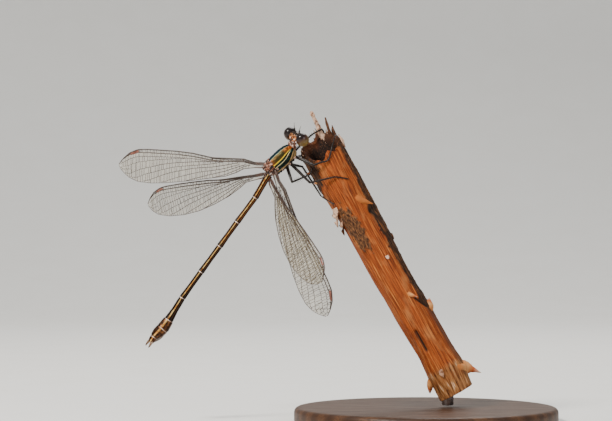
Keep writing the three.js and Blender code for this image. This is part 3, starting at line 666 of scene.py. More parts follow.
thorax_parts = [thorax_surface()]
HINGE_PLATES = 64
FLANK_PLATES = 10
plates = random.Random(5)
for i in range(HINGE_PLATES):
    front = plates.uniform(-3.2, -1.55)
    angle = plates.uniform(-78, 78)
    here = on_thorax(front, angle, plates.uniform(-0.02, 0.08))
    size = plates.uniform(0.11, 0.27)
    out = unit(here - on_thorax(front, angle, -0.5))
    along = unit(FORWARD - out * FORWARD.dot(out))
    halves = (size * plates.uniform(0.8, 1.7), size * plates.uniform(0.5, 0.9), size * 0.55)
    shape = egg(here, (along, np.cross(out, along), out), halves, 12, 8)
    thorax_parts.append(with_marks(shape, plate=plates.choice((0.15, 0.2, 0.5, 0.75, 1.0)), front_mm=front))
for i in range(FLANK_PLATES):
    for side in (-1, 1):
        front = -2.3 + 0.46 * i
        here = on_thorax(front, side * 118, 0.02)
        shape = egg(here, (FORWARD, DORSAL, RIGHT), (0.26, 0.3, 0.2), 12, 8)
        thorax_parts.append(with_marks(shape, plate=(0.2, 0.8)[i % 3 == 0], front_mm=front))

bronze, tree, surface = new_material("thorax_metal", roughness=0.3, metallic=0.85)
place = millimetres(tree)
pits = grain(tree, place, 9.0, 3.0)
clouds = grain(tree, place, 1.3, 3.0)
front_mm = measured(tree, "front_mm")
side_deg = measured(tree, "side_deg")
side_share = reckon(tree, "DIVIDE", reckon(tree, "ABSOLUTE", side_deg), 180.0)


def degrees_stops(stops):
    """Stops in degrees from the back's middle line, as shares of a half turn."""
    return [(at / 180.0, value) for at, value in stops]


PAINTED_LIGHT_TEAL, BRONZE, RUST = (0.003, 0.018, 0.028), (0.075, 0.040, 0.010), (0.34, 0.085, 0.012)
FLANK_BLACK, FLANK_TEAL = (0.005, 0.009, 0.007), (0.008, 0.028, 0.024)
# Fine painted lines: degrees from the keel with the line's strength there, and its colour
THORAX_LINES = (
    ([(0, 0.9), (0.6, 0.9), (1.4, 0.0)], (0.26, 0.30, 0.16)),
    ([(40, 0.0), (43, 1.0), (47.5, 1.0), (49, 0.0)], (0.80, 0.52, 0.012)),
    ([(62, 0.0), (63.5, 1.0), (66.5, 1.0), (68, 0.0)], (0.80, 0.68, 0.36)),
)
back_tone = blend(tree, grey_ramp(tree, clouds, [(0.35, 0.0), (0.65, 1.0)]), BRONZE, (0.034, 0.030, 0.010))
ends = reckon(tree, "MULTIPLY", reckon(tree, "ABSOLUTE", front_mm), 0.42)
back_tone = stain(tree, back_tone, ends, [(0.40, 0.0), (0.95, 0.9)], RUST)
# Painted light: the back's left half is tinted teal by how the light falls on it, not by a colour of its
# own.
rightward_for_painted_light = reckon(tree, "ADD", reckon(tree, "MULTIPLY", side_deg, 0.1), 0.5)
back_tone = stain(tree, back_tone, rightward_for_painted_light, [(0.3, 1.0), (0.6, 0.0)], PAINTED_LIGHT_TEAL)
flank = grey_ramp(tree, side_share, degrees_stops([(46, 0.0), (47, 1.0)]))
flank_tone = blend(tree, grey_ramp(tree, clouds, [(0.4, 0.0), (0.62, 1.0)]), FLANK_BLACK, FLANK_TEAL)
tone = blend(tree, flank, back_tone, flank_tone)
middle_only = grey_ramp(tree, ends, [(0.80, 1.0), (1.0, 0.0)])
painted = grey_ramp(tree, side_share, degrees_stops([(97, 0.0), (101, 1.0), (109, 1.0), (113, 0.15),
                                                     (128, 0.6), (160, 1.0)]))
belly = painted
for stops, colour in THORAX_LINES:
    line = reckon(tree, "MULTIPLY", grey_ramp(tree, side_share, degrees_stops(stops)), middle_only)
    tone = blend(tree, line, tone, colour)
    painted = reckon(tree, "MAXIMUM", painted, line)
tone = blend(tree, belly, tone, (0.36, 0.22, 0.085))
rear = grey_ramp(tree, reckon(tree, "MULTIPLY", front_mm, -0.3), [(0.50, 0.0), (0.60, 0.85)])
rear_tone = ramp(tree, grain(tree, place, 4.0, 4.0),
                 [(0.42, (0.010, 0.006, 0.005)), (0.52, (0.10, 0.042, 0.028)), (0.64, (0.58, 0.36, 0.29))])
tone = blend(tree, rear, tone, rear_tone)
plate = measured(tree, "plate")
plate_here = grey_ramp(tree, plate, [(0.0, 0.0), (0.05, 1.0)])
plate_tone = ramp(tree, plate, [(0.2, (0.010, 0.006, 0.005)), (0.5, (0.24, 0.085, 0.045)),
                                (0.75, (0.58, 0.33, 0.25)), (1.0, (0.80, 0.64, 0.55))])
plate_tone = stain(tree, plate_tone, grain(tree, place, 4.0, 3.0), [(0.46, 0.9), (0.56, 0.0)],
                   (0.012, 0.007, 0.006))
tone = blend(tree, plate_here, tone, plate_tone)
painted = reckon(tree, "MAXIMUM", reckon(tree, "MAXIMUM", painted, rear), plate_here)
feed(tree, surface, Base_Color=tone,
     Metallic=reckon(tree, "SUBTRACT", 0.75, reckon(tree, "MULTIPLY", painted, 0.72)),
     Roughness=grey_ramp(tree, pits, [(0.3, 0.38), (0.7, 0.55)]),
     Normal=relief(tree, pits, 0.02, 0.5))
surface.inputs["Specular IOR Level"].default_value = 0.2


# Prothorax: the short saddle between head and wings, lobed and mottled pink, cream and dark.
# It shares the thorax's skin, so it is made with it and closes over the neck.
HEAD_CENTRE = np.array((-21.6, -2.35, 47.35))
HEAD_RIGHT = np.array(Vector((0.61, -0.72, -0.32)).normalized())
HEAD_FORWARD = unit(np.array((0.68, 0.274, 0.68)) - 0.003 * HEAD_RIGHT)
HEAD_UP = np.cross(HEAD_RIGHT, HEAD_FORWARD)
HEAD_AXES = (HEAD_RIGHT, HEAD_FORWARD, HEAD_UP)


def in_head(right, front, up):
    return HEAD_CENTRE + HEAD_RIGHT * right + HEAD_FORWARD * front + HEAD_UP * up


neck_rear = THORAX_CENTRE + FORWARD * 2.25 + DORSAL * 0.3
neck_front = in_head(0, -0.75, -0.1)
saddle = neck_rear + (neck_front - neck_rear) * 0.55
thorax_parts.append(with_marks(tube([neck_rear, neck_rear + (saddle - neck_rear) * 0.5, saddle, neck_front],
                                    (0.72, 0.8, 0.7, 0.48), 40, 8, 0.12, 3), plate=0.55, front_mm=-3.0))
# Lobes: place to the right, up and share of the way to the head, then size and paleness
SADDLE_LOBES = (
    (-0.42, 0.42, 0.45, 0.34, 0.75), (0.42, 0.42, 0.45, 0.34, 0.85), (0.0, 0.62, 0.18, 0.30, 0.95),
    (-0.3, 0.52, 0.78, 0.24, 0.3), (0.34, 0.5, 0.78, 0.24, 0.9), (0.66, 0.1, 0.5, 0.30, 0.25),
    (-0.66, 0.1, 0.5, 0.30, 0.6), (0.62, -0.25, 0.25, 0.30, 1.0), (0.0, 0.56, 0.62, 0.2, 0.25),
    (0.72, -0.1, 0.8, 0.2, 0.95), (0.2, 0.66, 0.42, 0.16, 1.0), (-0.22, 0.62, 0.34, 0.15, 0.2),
)
for right, up, along, size, shade in SADDLE_LOBES:
    lobe = neck_rear + (neck_front - neck_rear) * along + RIGHT * right + DORSAL * up
    thorax_parts.append(with_marks(egg(lobe, (FORWARD, RIGHT, DORSAL), (size * 0.8, size, size * 0.7)),
                                   plate=shade, front_mm=-3.0))
add_piece("thorax_skin", thorax_parts, bronze, ("thorax", "prothorax"))


# Abdomen: ten ringed segments as slender as a straw, dark metallic bronze, with a gold highlight painted
# along the back.
# Each joint shows a thin white ring, and the end swells over the egg-laying gear.
ABDOMEN_JOINTS = ((-26.15, -2.1, 41.15), (-26.75, -2.1, 40.25), (-28.4, -2.05, 37.4), (-31.4, -1.95, 33.35),
                  (-34.3, -1.85, 29.35), (-37.4, -1.75, 25.1), (-40.5, -1.6, 20.8), (-42.75, -1.5, 17.15),
                  (-43.75, -1.45, 15.7), (-45.2, -1.4, 14.3), (-45.85, -1.35, 13.35))
# Radius of each segment at its start, middle and end
ABDOMEN_SIZES = ((0.72, 0.66, 0.58), (0.56, 0.53, 0.55), (0.49, 0.46, 0.53), (0.49, 0.46, 0.53),
                 (0.49, 0.46, 0.53), (0.49, 0.47, 0.55), (0.52, 0.57, 0.76), (0.8, 0.95, 1.02),
                 (1.02, 0.98, 0.72), (0.66, 0.6, 0.42))


def segment_axes(index):
    """A segment's directions along, to its right and down."""
    along = unit(np.subtract(ABDOMEN_JOINTS[index + 1], ABDOMEN_JOINTS[index]))
    side = unit(RIGHT - along * RIGHT.dot(along))
    return along, side, -np.cross(along, side)


def abdomen_surface():
    sides, rows = 64, []
    marks = {"side_deg": [], "segment_share": [], "from_joint_mm": [], "segment": []}
    for index, sizes in enumerate(ABDOMEN_SIZES):
        along, side, down = segment_axes(index)
        start = np.array(ABDOMEN_JOINTS[index])
        length = float(np.linalg.norm(np.array(ABDOMEN_JOINTS[index + 1]) - start))
        ring_wide = 0.17 if 1 < index < 7 else 0.1
        stops = sorted(set([0.0, 0.03, 0.06, 0.10, 0.14, ring_wide, 0.22, 0.30]
                           + list(np.linspace(0.4, length - 0.3, max(4, int(length * 5))))
                           + [length - 0.22, length - 0.14, length - 0.08, length - 0.03]))
        for at in stops:
            share = at / length
            radius = float(np.interp(share, (0, 0.15, 0.55, 1.0),
                                     (sizes[0], (sizes[0] + sizes[1]) / 2, *sizes[1:])))
            radius *= 1 - 0.10 * math.exp(-at / 0.06) - 0.03 * ridge(at, ring_wide + 0.05, 0.04)
            radius += 0.02 * ridge(length - at, 0.13, 0.07) - 0.05 * math.exp(-(length - at) / 0.025)
            deep = 1.05 if index in (7, 8) else 1.0
            row = ring_points(start + along * at, side, -down, radius, radius * deep, sides)
            rows.append(row)
            for i in range(sides):
                round_deg = 90 - 360 * i / sides
                marks["side_deg"].append(round_deg if i <= 3 * sides // 4 else round_deg + 360)
                marks["segment_share"].append(share)
                marks["from_joint_mm"].append(min(at, 1.0) if index > 1 else 1.0)
                marks["segment"].append(index)
    return closed_skin(rows, sides, marks)


abdomen_metal, tree, surface = new_material("abdomen_metal", roughness=0.28, metallic=0.8)
place = millimetres(tree)
# The gold line along the back is a painted highlight, a lengthwise glint laid on the dark bronze; the other
# bands are placed from it.
HIGHLIGHT_LINE_DEG = 26.0
from_highlight_line = reckon(tree, "ABSOLUTE", reckon(tree, "ADD", measured(tree, "side_deg"), -HIGHLIGHT_LINE_DEG))
side_share = reckon(tree, "DIVIDE", from_highlight_line, 180.0)
pits = grain(tree, place, 10.0, 3.0)
BLACK_BRONZE = (0.006, 0.004, 0.003)
back_tone = ramp(tree, side_share, degrees_stops([
    (0, BLACK_BRONZE), (29, BLACK_BRONZE), (34, (0.17, 0.048, 0.009)), (42, (0.20, 0.060, 0.012)),
    (50, (0.006, 0.005, 0.004)), (112, (0.008, 0.006, 0.005)), (150, (0.12, 0.065, 0.03)),
    (180, (0.24, 0.16, 0.08))]))
toward_tail = reckon(tree, "DIVIDE", measured(tree, "segment"), 10.0)
back_tone = stain(tree, back_tone, toward_tail, [(0.15, 0.0), (0.45, 0.8)], (0.006, 0.005, 0.004))
gold_highlight_line = grey_ramp(tree, side_share, degrees_stops([(0, 1.0), (6, 0.9), (11, 0.0)]))
tail = grey_ramp(tree, toward_tail, [(0.62, 0.0), (0.70, 0.35)])
tail_tone = ramp(tree, grain(tree, place, 2.4, 4.0),
                 [(0.36, (0.014, 0.006, 0.003)), (0.5, (0.13, 0.040, 0.012)), (0.64, (0.34, 0.13, 0.04))])
tone = blend(tree, tail, back_tone, tail_tone)
gold_highlight_tone = ramp(tree, grain(tree, place, 1.6, 3.0),
            [(0.36, (0.58, 0.20, 0.035)), (0.50, (0.86, 0.46, 0.12)), (0.66, (0.92, 0.64, 0.24))])
tone = blend(tree, gold_highlight_line, tone, gold_highlight_tone)
share = measured(tree, "segment_share")
tone = stain(tree, tone, share, [(0.84, 0.0), (0.95, 0.7)], (0.012, 0.008, 0.006))
joint = measured(tree, "from_joint_mm")
ring_here = grey_ramp(tree, joint, [(0.02, 0.3), (0.05, 1.0), (0.10, 1.0), (0.14, 0.0)])
near_top = grey_ramp(tree, side_share, degrees_stops([(0, 1.0), (14, 1.0), (30, 0.45), (60, 0.30),
                                                      (180, 0.15)]))
ring_here = reckon(tree, "MULTIPLY", ring_here, near_top)
tone = blend(tree, ring_here, tone, (0.80, 0.62, 0.52))
feed(tree, surface, Base_Color=tone,
     Metallic=reckon(tree, "SUBTRACT", 0.85, reckon(tree, "MULTIPLY", ring_here, 0.8)),
     Roughness=grey_ramp(tree, pits, [(0.3, 0.22), (0.7, 0.38)]),
     Normal=relief(tree, pits, 0.015, 0.5))
add_piece("abdomen_skin", [abdomen_surface()], abdomen_metal,
          tuple("abdomen_%d" % i for i in range(1, 11)))


# Tail gear: two short pale claspers and, below, the curved brown egg-laying blade with its stylus.
# They are small hard pieces jointed to the last segments.
SIDES = ((-1, "left"), (1, "right"))

cuticle, tree, surface = new_material("pale_cuticle", roughness=0.42)
place = millimetres(tree)
mottle = grain(tree, place, 5.0, 4.0)
shade = measured(tree, "brown")
tone = ramp(tree, shade, [(0.0, (0.66, 0.54, 0.40)), (0.5, (0.15, 0.070, 0.028)),
                          (1.0, (0.010, 0.006, 0.004))])
tone = stain(tree, tone, mottle, [(0.45, 0.0), (0.7, 0.5)], (0.22, 0.13, 0.08))
feed(tree, surface, Base_Color=tone, Roughness=grey_ramp(tree, mottle, [(0.3, 0.35), (0.7, 0.55)]),
     Normal=relief(tree, mottle, 0.02, 0.5))

along, side, down = segment_axes(9)
tail_end = np.array(ABDOMEN_JOINTS[10])
for sign, side_name in SIDES:
    root = tail_end - along * 0.35 + side * sign * 0.32 - down * 0.12
    stops = [root + along * back + side * sign * out
             for back, out in ((0, 0), (0.5, 0.03), (0.9, 0.08), (1.2, 0.05))]
    clasper = tube(stops, (0.2, 0.21, 0.15, 0.07), 14, 6)
    clasper = (*clasper, {"brown": np.linspace(0.25, 1.0, len(clasper[0]))})
    add_piece("clasper_" + side_name, [clasper], cuticle, ("cercus_" + side_name,))

along, side, down = segment_axes(8)
root = np.array(ABDOMEN_JOINTS[8]) + along * 0.5 + down * 1.0
blade = [root, root + along * 1.0 + down * 0.1, root + along * 2.1 - down * 0.05]
stylus = [blade[1], blade[2], blade[2] + along * 0.45 - down * 0.12]
egg_blade = [with_marks(tube(blade, (0.36, 0.40, 0.2), 18, 6), brown=0.85),
             with_marks(tube(stylus, (0.12, 0.09, 0.05), 8, 4), brown=0.9)]
add_piece("egg_blade", egg_blade, cuticle, ("ovipositor",))


# Head: a wide dark bronze bar between the eyes, with an orange-brown rear face and cream spots.
# Three bead eyes sit on its top, and the pale lip and jaws close its front underside.
HEAD_HALF_WIDTH = 1.5
HEAD_HALF_DEPTH = 0.93
HEAD_HALF_HEIGHT = 1.03
HEAD_ROWS = 56


def head_surface():
    sides, rows = 64, []
    marks = {"head_front": [], "head_up": [], "head_right": []}
    for row_index in range(1, HEAD_ROWS):
        angle = math.pi * row_index / HEAD_ROWS
        size = math.sin(angle) ** 0.8
        right = -HEAD_HALF_WIDTH * math.cos(angle)
        row = []
        for i in range(sides):
            turn = 2 * math.pi * i / sides
            front = HEAD_HALF_DEPTH * size * math.cos(turn)
            up = HEAD_HALF_HEIGHT * size * math.sin(turn)
            front += 0.10 * ridge(up, 0.1, 0.35) * max(math.cos(turn), 0) * ridge(right, 0, 0.8)
            front += 0.13 * ridge(right, 0, 0.7) * max(-math.cos(turn), 0)
            up -= 0.07 * ridge(front, 0.15, 0.18) * max(math.sin(turn), 0) * ridge(abs(right), 0.45, 0.25)
            bump = 0.03 * noise.noise((right * 2.6, front * 2.6, up * 2.6))
            row.append(in_head(right, front * (1 + bump), up * (1 + bump)))
            marks["head_front"].append(front)
            marks["head_up"].append(up)
            marks["head_right"].append(right)
        rows.append(row)
    return closed_skin(rows, sides, marks)


head_skin, tree, surface = new_material("head_skin", roughness=0.4, metallic=0.3)
place = millimetres(tree)
mottle = grain(tree, place, 3.2, 4.0)
fine = grain(tree, place, 11.0, 3.0)
top_tone = ramp(tree, mottle, [(0.38, (0.008, 0.006, 0.004)), (0.55, (0.035, 0.020, 0.009)),
                               (0.68, (0.16, 0.065, 0.02))])
rear_tone = ramp(tree, mottle, [(0.40, (0.012, 0.006, 0.004)), (0.50, (0.40, 0.12, 0.025)),
                                (0.60, (0.60, 0.26, 0.09)), (0.68, (0.72, 0.50, 0.38))])
toward_rear = reckon(tree, "ADD", reckon(tree, "MULTIPLY", measured(tree, "head_front"), -0.5), 0.5)
tone = blend(tree, grey_ramp(tree, toward_rear, [(0.50, 0.0), (0.68, 1.0)]), top_tone, rear_tone)
spot = measured(tree, "spot")
spot_tone = ramp(tree, spot, [(0.1, (0.008, 0.005, 0.004)), (0.5, (0.52, 0.16, 0.035)),
                              (0.8, (0.66, 0.42, 0.25)), (1.0, (0.70, 0.62, 0.60))])
tone = blend(tree, grey_ramp(tree, spot, [(0.0, 0.0), (0.05, 1.0)]), tone, spot_tone)
feed(tree, surface, Base_Color=tone, Roughness=grey_ramp(tree, fine, [(0.3, 0.3), (0.7, 0.52)]),
     Normal=relief(tree, fine, 0.02, 0.6))
head_parts = [head_surface()]
# The three bead eyes, then the low spots of the rear face: right, front, up, size and paleness
HEAD_BUMPS = (
    (0.0, 0.42, 1.0, 0.15, 0.1), (-0.36, 0.1, 1.02, 0.15, 0.1), (0.36, 0.1, 1.02, 0.15, 0.1),
    (0.55, -0.72, 0.45, 0.26, 0.85), (-0.55, -0.72, 0.45, 0.26, 0.5), (0.25, -0.9, 0.2, 0.2, 0.5),
    (-0.25, -0.9, 0.15, 0.2, 1.0), (0.75, -0.75, -0.05, 0.25, 1.0), (-0.8, -0.65, -0.05, 0.24, 0.9),
    (0.62, -0.55, -0.55, 0.26, 0.8), (0.0, -0.78, 0.55, 0.16, 0.1), (0.95, -0.6, 0.3, 0.16, 0.15),
    (-0.35, -0.75, 0.65, 0.15, 0.95), (0.3, -0.72, 0.72, 0.16, 0.5), (0.45, -0.88, -0.3, 0.16, 0.15),
)
for right, front, up, size, shade in HEAD_BUMPS:
    bump = egg(in_head(right, front, up), HEAD_AXES, (size, size * 0.7, size * 0.7), 20, 12)
    head_parts.append(with_marks(bump, spot=shade))
HEAD_HAIRS = 46
neck_hairs = random.Random(8)
for i in range(HEAD_HAIRS):
    right = neck_hairs.uniform(-1.0, 1.0)
    front = neck_hairs.uniform(-0.6, 0.75)
    foot = in_head(right, front, 0.78)
    out = HEAD_UP + HEAD_RIGHT * right * 0.35 + HEAD_FORWARD * (front * 0.6 + neck_hairs.uniform(-0.2, 0.2))
    tip = foot + unit(out) * neck_hairs.uniform(0.5, 0.8)
    hair = tube([foot, (foot + tip) / 2, tip], (0.018, 0.013, 0.005), 4, 2)
    head_parts.append(with_marks(hair, spot=0.1))
add_piece("head_skin", head_parts, head_skin, ("head",))

# Face plate, upper lip, two jaws and lower lip: middle, half sizes, points round and along, paleness
MOUTHPARTS = (
    ((0, 0.86, -0.18), (0.62, 0.28, 0.3), 32, 20, 0.75),
    ((0, 0.9, -0.62), (0.55, 0.25, 0.26), 32, 20, 1.0),
    ((0.42, 0.62, -0.85), (0.3, 0.4, 0.34), 28, 18, 0.8),
    ((-0.42, 0.62, -0.85), (0.3, 0.4, 0.34), 28, 18, 0.8),
    ((0, 0.4, -1.05), (0.45, 0.5, 0.26), 28, 18, 0.5),
)
jaws = [with_marks(egg(in_head(*middle), HEAD_AXES, halves, sides, rows), spot=shade)
        for middle, halves, sides, rows, shade in MOUTHPARTS]
add_piece("lip_and_jaws", jaws, head_skin, ("mouthparts",))


# Eyes: two bulging compound eyes, dark brown over olive tan, each a shell of fine six-sided lenses.
# A clear hard coat gives them their small bright glint.
EYE_HALVES = (1.03, 1.08, 1.22)


def eye_surface(sign):
    centre = in_head(sign * 1.65, 0.05, 0.08)
    shape = egg(centre, HEAD_AXES, EYE_HALVES, 110, 80)
    cloud = np.array(shape[0]) - centre
    return (*shape, {"eye_up": cloud @ HEAD_UP, "eye_out": cloud @ HEAD_RIGHT * sign})


eye_glass, tree, surface = new_material("compound_eye", roughness=0.34)
place = millimetres(tree)
LENSES_PER_MM = 14.0
lenses = put(tree, "ShaderNodeTexVoronoi", {"Vector": place, "Scale": LENSES_PER_MM, "Randomness": 0.35},
             feature="DISTANCE_TO_EDGE").outputs["Distance"]
wander = reckon(tree, "MULTIPLY", reckon(tree, "SUBTRACT", grain(tree, place, 1.2, 3.0), 0.5), 0.9)
level = reckon(tree, "ADD", reckon(tree, "ADD", measured(tree, "eye_up"), wander),
               reckon(tree, "MULTIPLY", measured(tree, "eye_out"), -0.34))
level = reckon(tree, "ADD", reckon(tree, "MULTIPLY", level, 0.4), 0.5)
tone = ramp(tree, level, [(0.02, (0.15, 0.115, 0.055)), (0.20, (0.19, 0.115, 0.032)),
                          (0.50, (0.105, 0.055, 0.012)), (0.62, (0.060, 0.020, 0.008)),
                          (0.78, (0.012, 0.004, 0.003)), (1.0, (0.005, 0.002, 0.002))])
tone = stain(tree, tone, lenses, [(0.0, 0.55), (0.12, 0.0)], (0.012, 0.008, 0.006))
feed(tree, surface, Base_Color=tone, Normal=relief(tree, lenses, 0.02, 0.35))
surface.inputs["Coat Weight"].default_value = 0.35
surface.inputs["Coat Roughness"].default_value = 0.05
surface.inputs["Specular IOR Level"].default_value = 0.15
for sign, side_name in SIDES:
    add_piece("eye_shell_" + side_name, [eye_surface(sign)], eye_glass, ("eye_" + side_name,))


# Feelers: short dark bristle-like antennae, two thick joints at the root and a fine whip beyond.
# Each is socketed in the front of the head beside the bead eyes.
FEELER_STOPS = ((0, 0, 0), (0.1, 0.22, 0.42), (0.13, 0.32, 0.6), (0.28, 0.62, 1.0), (0.38, 0.9, 1.25))

leg_skin, tree, surface = new_material("leg_skin", roughness=0.4)
place = millimetres(tree)
fine = grain(tree, place, 8.0, 3.0)
tan = measured(tree, "tan")
tone = ramp(tree, fine, [(0.35, (0.005, 0.003, 0.002)), (0.65, (0.016, 0.008, 0.005))])
tan_tone = ramp(tree, fine, [(0.35, (0.28, 0.13, 0.045)), (0.65, (0.46, 0.26, 0.11))])
tone = blend(tree, tan, tone, tan_tone)
feed(tree, surface, Base_Color=tone, Roughness=grey_ramp(tree, fine, [(0.3, 0.3), (0.7, 0.5)]),
     Normal=relief(tree, fine, 0.015, 0.5))
surface.inputs["Specular IOR Level"].default_value = 0.25
for sign, side_name in SIDES:
    root = in_head(sign * 0.55, 0.55, 0.6)
    stops = [root + HEAD_RIGHT * sign * out + HEAD_FORWARD * front + HEAD_UP * up
             for out, front, up in FEELER_STOPS]
    feeler = [tube(stops[:3], (0.11, 0.12, 0.07), 14, 4),
              tube(stops[1:], (0.055, 0.05, 0.035, 0.015), 10, 5)]
    add_piece("feeler_" + side_name, feeler, leg_skin, ("antenna_" + side_name,))


# Wings: four clear membranes on narrow stalks, stiffened by dark brown veins and a grid of cross veins.
# Each has a hinge stub, a notch vein part way along the front edge and a pinkish-brown spot near its tip.
# Outlines: shares of the length, then heights of the front or rear edge over the root-to-tip line
FORE_FRONT = ((0, 0.09, 0.16, 0.37, 0.42, 0.5, 0.61, 0.72, 0.8, 0.87, 0.93, 0.975, 1),
              (0.34, 0.42, 0.98, 1.2, 1.5, 1.95, 2.3, 2.47, 2.6, 2.58, 2.0, 1.0, 0.12))
FORE_REAR = ((0, 0.09, 0.16, 0.21, 0.28, 0.4, 0.54, 0.68, 0.78, 0.87, 0.93, 0.975, 1),
             (-0.4, -0.42, -0.6, -1.25, -1.85, -2.25, -2.7, -3.0, -3.05, -2.8, -2.1, -1.1, -0.17))
HIND_FRONT = ((0, 0.1, 0.19, 0.37, 0.46, 0.59, 0.7, 0.82, 0.87, 0.93, 0.975, 1),
              (0.34, 0.4, 0.62, 1.0, 1.42, 1.8, 2.06, 2.26, 2.24, 1.8, 0.95, 0.12))
HIND_REAR = ((0, 0.1, 0.175, 0.23, 0.33, 0.46, 0.59, 0.72, 0.84, 0.93, 0.975, 1),
             (-0.4, -0.4, -0.42, -1.05, -1.95, -2.7, -3.15, -3.18, -2.78, -2.05, -1.2, -0.17))
FORE_LENGTH = 26.4
HIND_LENGTH = 24.2
# Each wing: root, tip across and up, length, side of the tip's depth, frontward, outline, bow, twist
WINGS = {
    "fore_left": ((-26.2, -3.15, 42.75), (-51.5, 42.95), FORE_LENGTH, 1, (0, 0, 1),
                  FORE_FRONT, FORE_REAR, -0.3, 0.05),
    "hind_left": ((-26.35, -2.95, 41.25), (-46.9, 36.25), HIND_LENGTH, 1, (-0.2, 0, 1),
                  HIND_FRONT, HIND_REAR, -0.3, 0.05),
    "fore_right": ((-25.35, -3.5, 42.1), (-16.6, 18.1), FORE_LENGTH, -1, (0.8, -0.52, 0.3),
                   FORE_FRONT, FORE_REAR, 0.7, -0.05),
    "hind_right": ((-26.05, -4.2, 40.45), (-17.6, 23.85), HIND_LENGTH, -1, (0.75, -0.6, 0.28),
                   HIND_FRONT, HIND_REAR, 0.7, -0.05),
}
FILM_HALF_THICKNESS = 0.012
CROSS_VEIN_RADIUS = 0.032
FINE_VEIN_RADIUS = 0.027
# The notch vein and the first strong cross vein: share of the length and radius
NOTCH_VEINS = ((0.37, 0.10), (0.165, 0.07))
# The coloured spot's start and end, as shares of the length
SPOT_SPAN = {"fore": (0.862, 0.932), "hind": (0.848, 0.915)}
# Long veins: radius, and where each runs as (share of length, share of width from the front edge)
LONG_VEINS = (
    ("front", 0.105, ((0.04, 0.0), (1.0, 0.0))),
    ("second", 0.055, ((0.05, 0.30), (0.16, 0.13), (0.37, 0.03))),
    ("main", 0.095, ((0.04, 0.42), (0.12, 0.34), (0.2, 0.19), (0.37, 0.125), (0.6, 0.10), (0.88, 0.095),
                     (0.97, 0.03))),
    ("fan_1", 0.05, ((0.26, 0.17), (0.42, 0.20), (0.7, 0.2), (0.9, 0.22), (0.985, 0.3))),
    ("fan_2", 0.04, ((0.55, 0.21), (0.75, 0.30), (0.9, 0.42), (0.975, 0.62))),
    ("fan_3", 0.05, ((0.33, 0.16), (0.5, 0.32), (0.7, 0.42), (0.88, 0.64), (0.955, 0.96))),
    ("fan_4", 0.045, ((0.3, 0.2), (0.45, 0.42), (0.65, 0.53), (0.82, 0.74), (0.92, 0.98))),
    ("fan_5", 0.05, ((0.2, 0.3), (0.34, 0.44), (0.5, 0.56), (0.68, 0.72), (0.83, 0.98))),
    ("fan_6", 0.045, ((0.19, 0.45), (0.3, 0.58), (0.45, 0.70), (0.6, 0.85), (0.71, 0.99))),
    ("fan_7", 0.05, ((0.12, 0.6), (0.2, 0.62), (0.32, 0.76), (0.44, 0.90), (0.54, 0.99))),
    ("rear", 0.055, ((0.04, 1.0), (1.0, 1.0))),
    ("fan_8", 0.045, ((0.14, 0.75), (0.22, 0.84), (0.3, 0.93), (0.36, 0.995))),
)


def wing_reader(root, tip_xz, length, depth_side, frontward, front, rear, bow, twist):
    """A function that gives the wing's middle surface, and its normal, from two shares."""
    root = np.array(root)
    flat = math.hypot(tip_xz[0] - root[0], tip_xz[1] - root[2])
    tip = np.array((tip_xz[0], root[1] + depth_side * math.sqrt(length ** 2 - flat ** 2), tip_xz[1]))
    along = (tip - root) / length
    chord = np.array(frontward, dtype=float)
    chord = unit(chord - along * chord.dot(along))
    normal = np.cross(along, chord)

    def place(s, t, lift=0.0):
        high, low = np.interp(s, *front), np.interp(s, *rear)
        height = high + (low - high) * t
        corrugation = 0.05 * math.sin(t * 26) * soft_step(s, 0.1, 0.3) * (1 - t)
        rise = bow * math.sin(math.pi * s) + twist * s * height + corrugation + lift
        return root + along * (s * length) + chord * height + normal * rise
    return place


def wing_membrane(place):
    """The clear film as a thin closed sheet, with closer rows at the tip."""
    rows = np.concatenate((np.linspace(0.035, 0.9, 66), np.linspace(0.91, 1.0, 16)))
    columns = np.linspace(0, 1, 27)
    upper = [tuple(place(s, t, FILM_HALF_THICKNESS)) for s in rows for t in columns]
    lower = [tuple(place(s, t, -FILM_HALF_THICKNESS)) for s in rows for t in columns]
    return thin_sheet(upper, lower, len(rows), len(columns))


def straight_rod(start, end, thick):
    """A four-sided rod, for the many short cross veins."""
    along = unit(end - start)
    side = unit(np.cross(along, (0.3, 0.9, 0.31)))
    up = np.cross(along, side)
    rows = [ring_points(p, side, up, thick, thick, 4) for p in (start, end)]
    return skin_of(rows, 4)


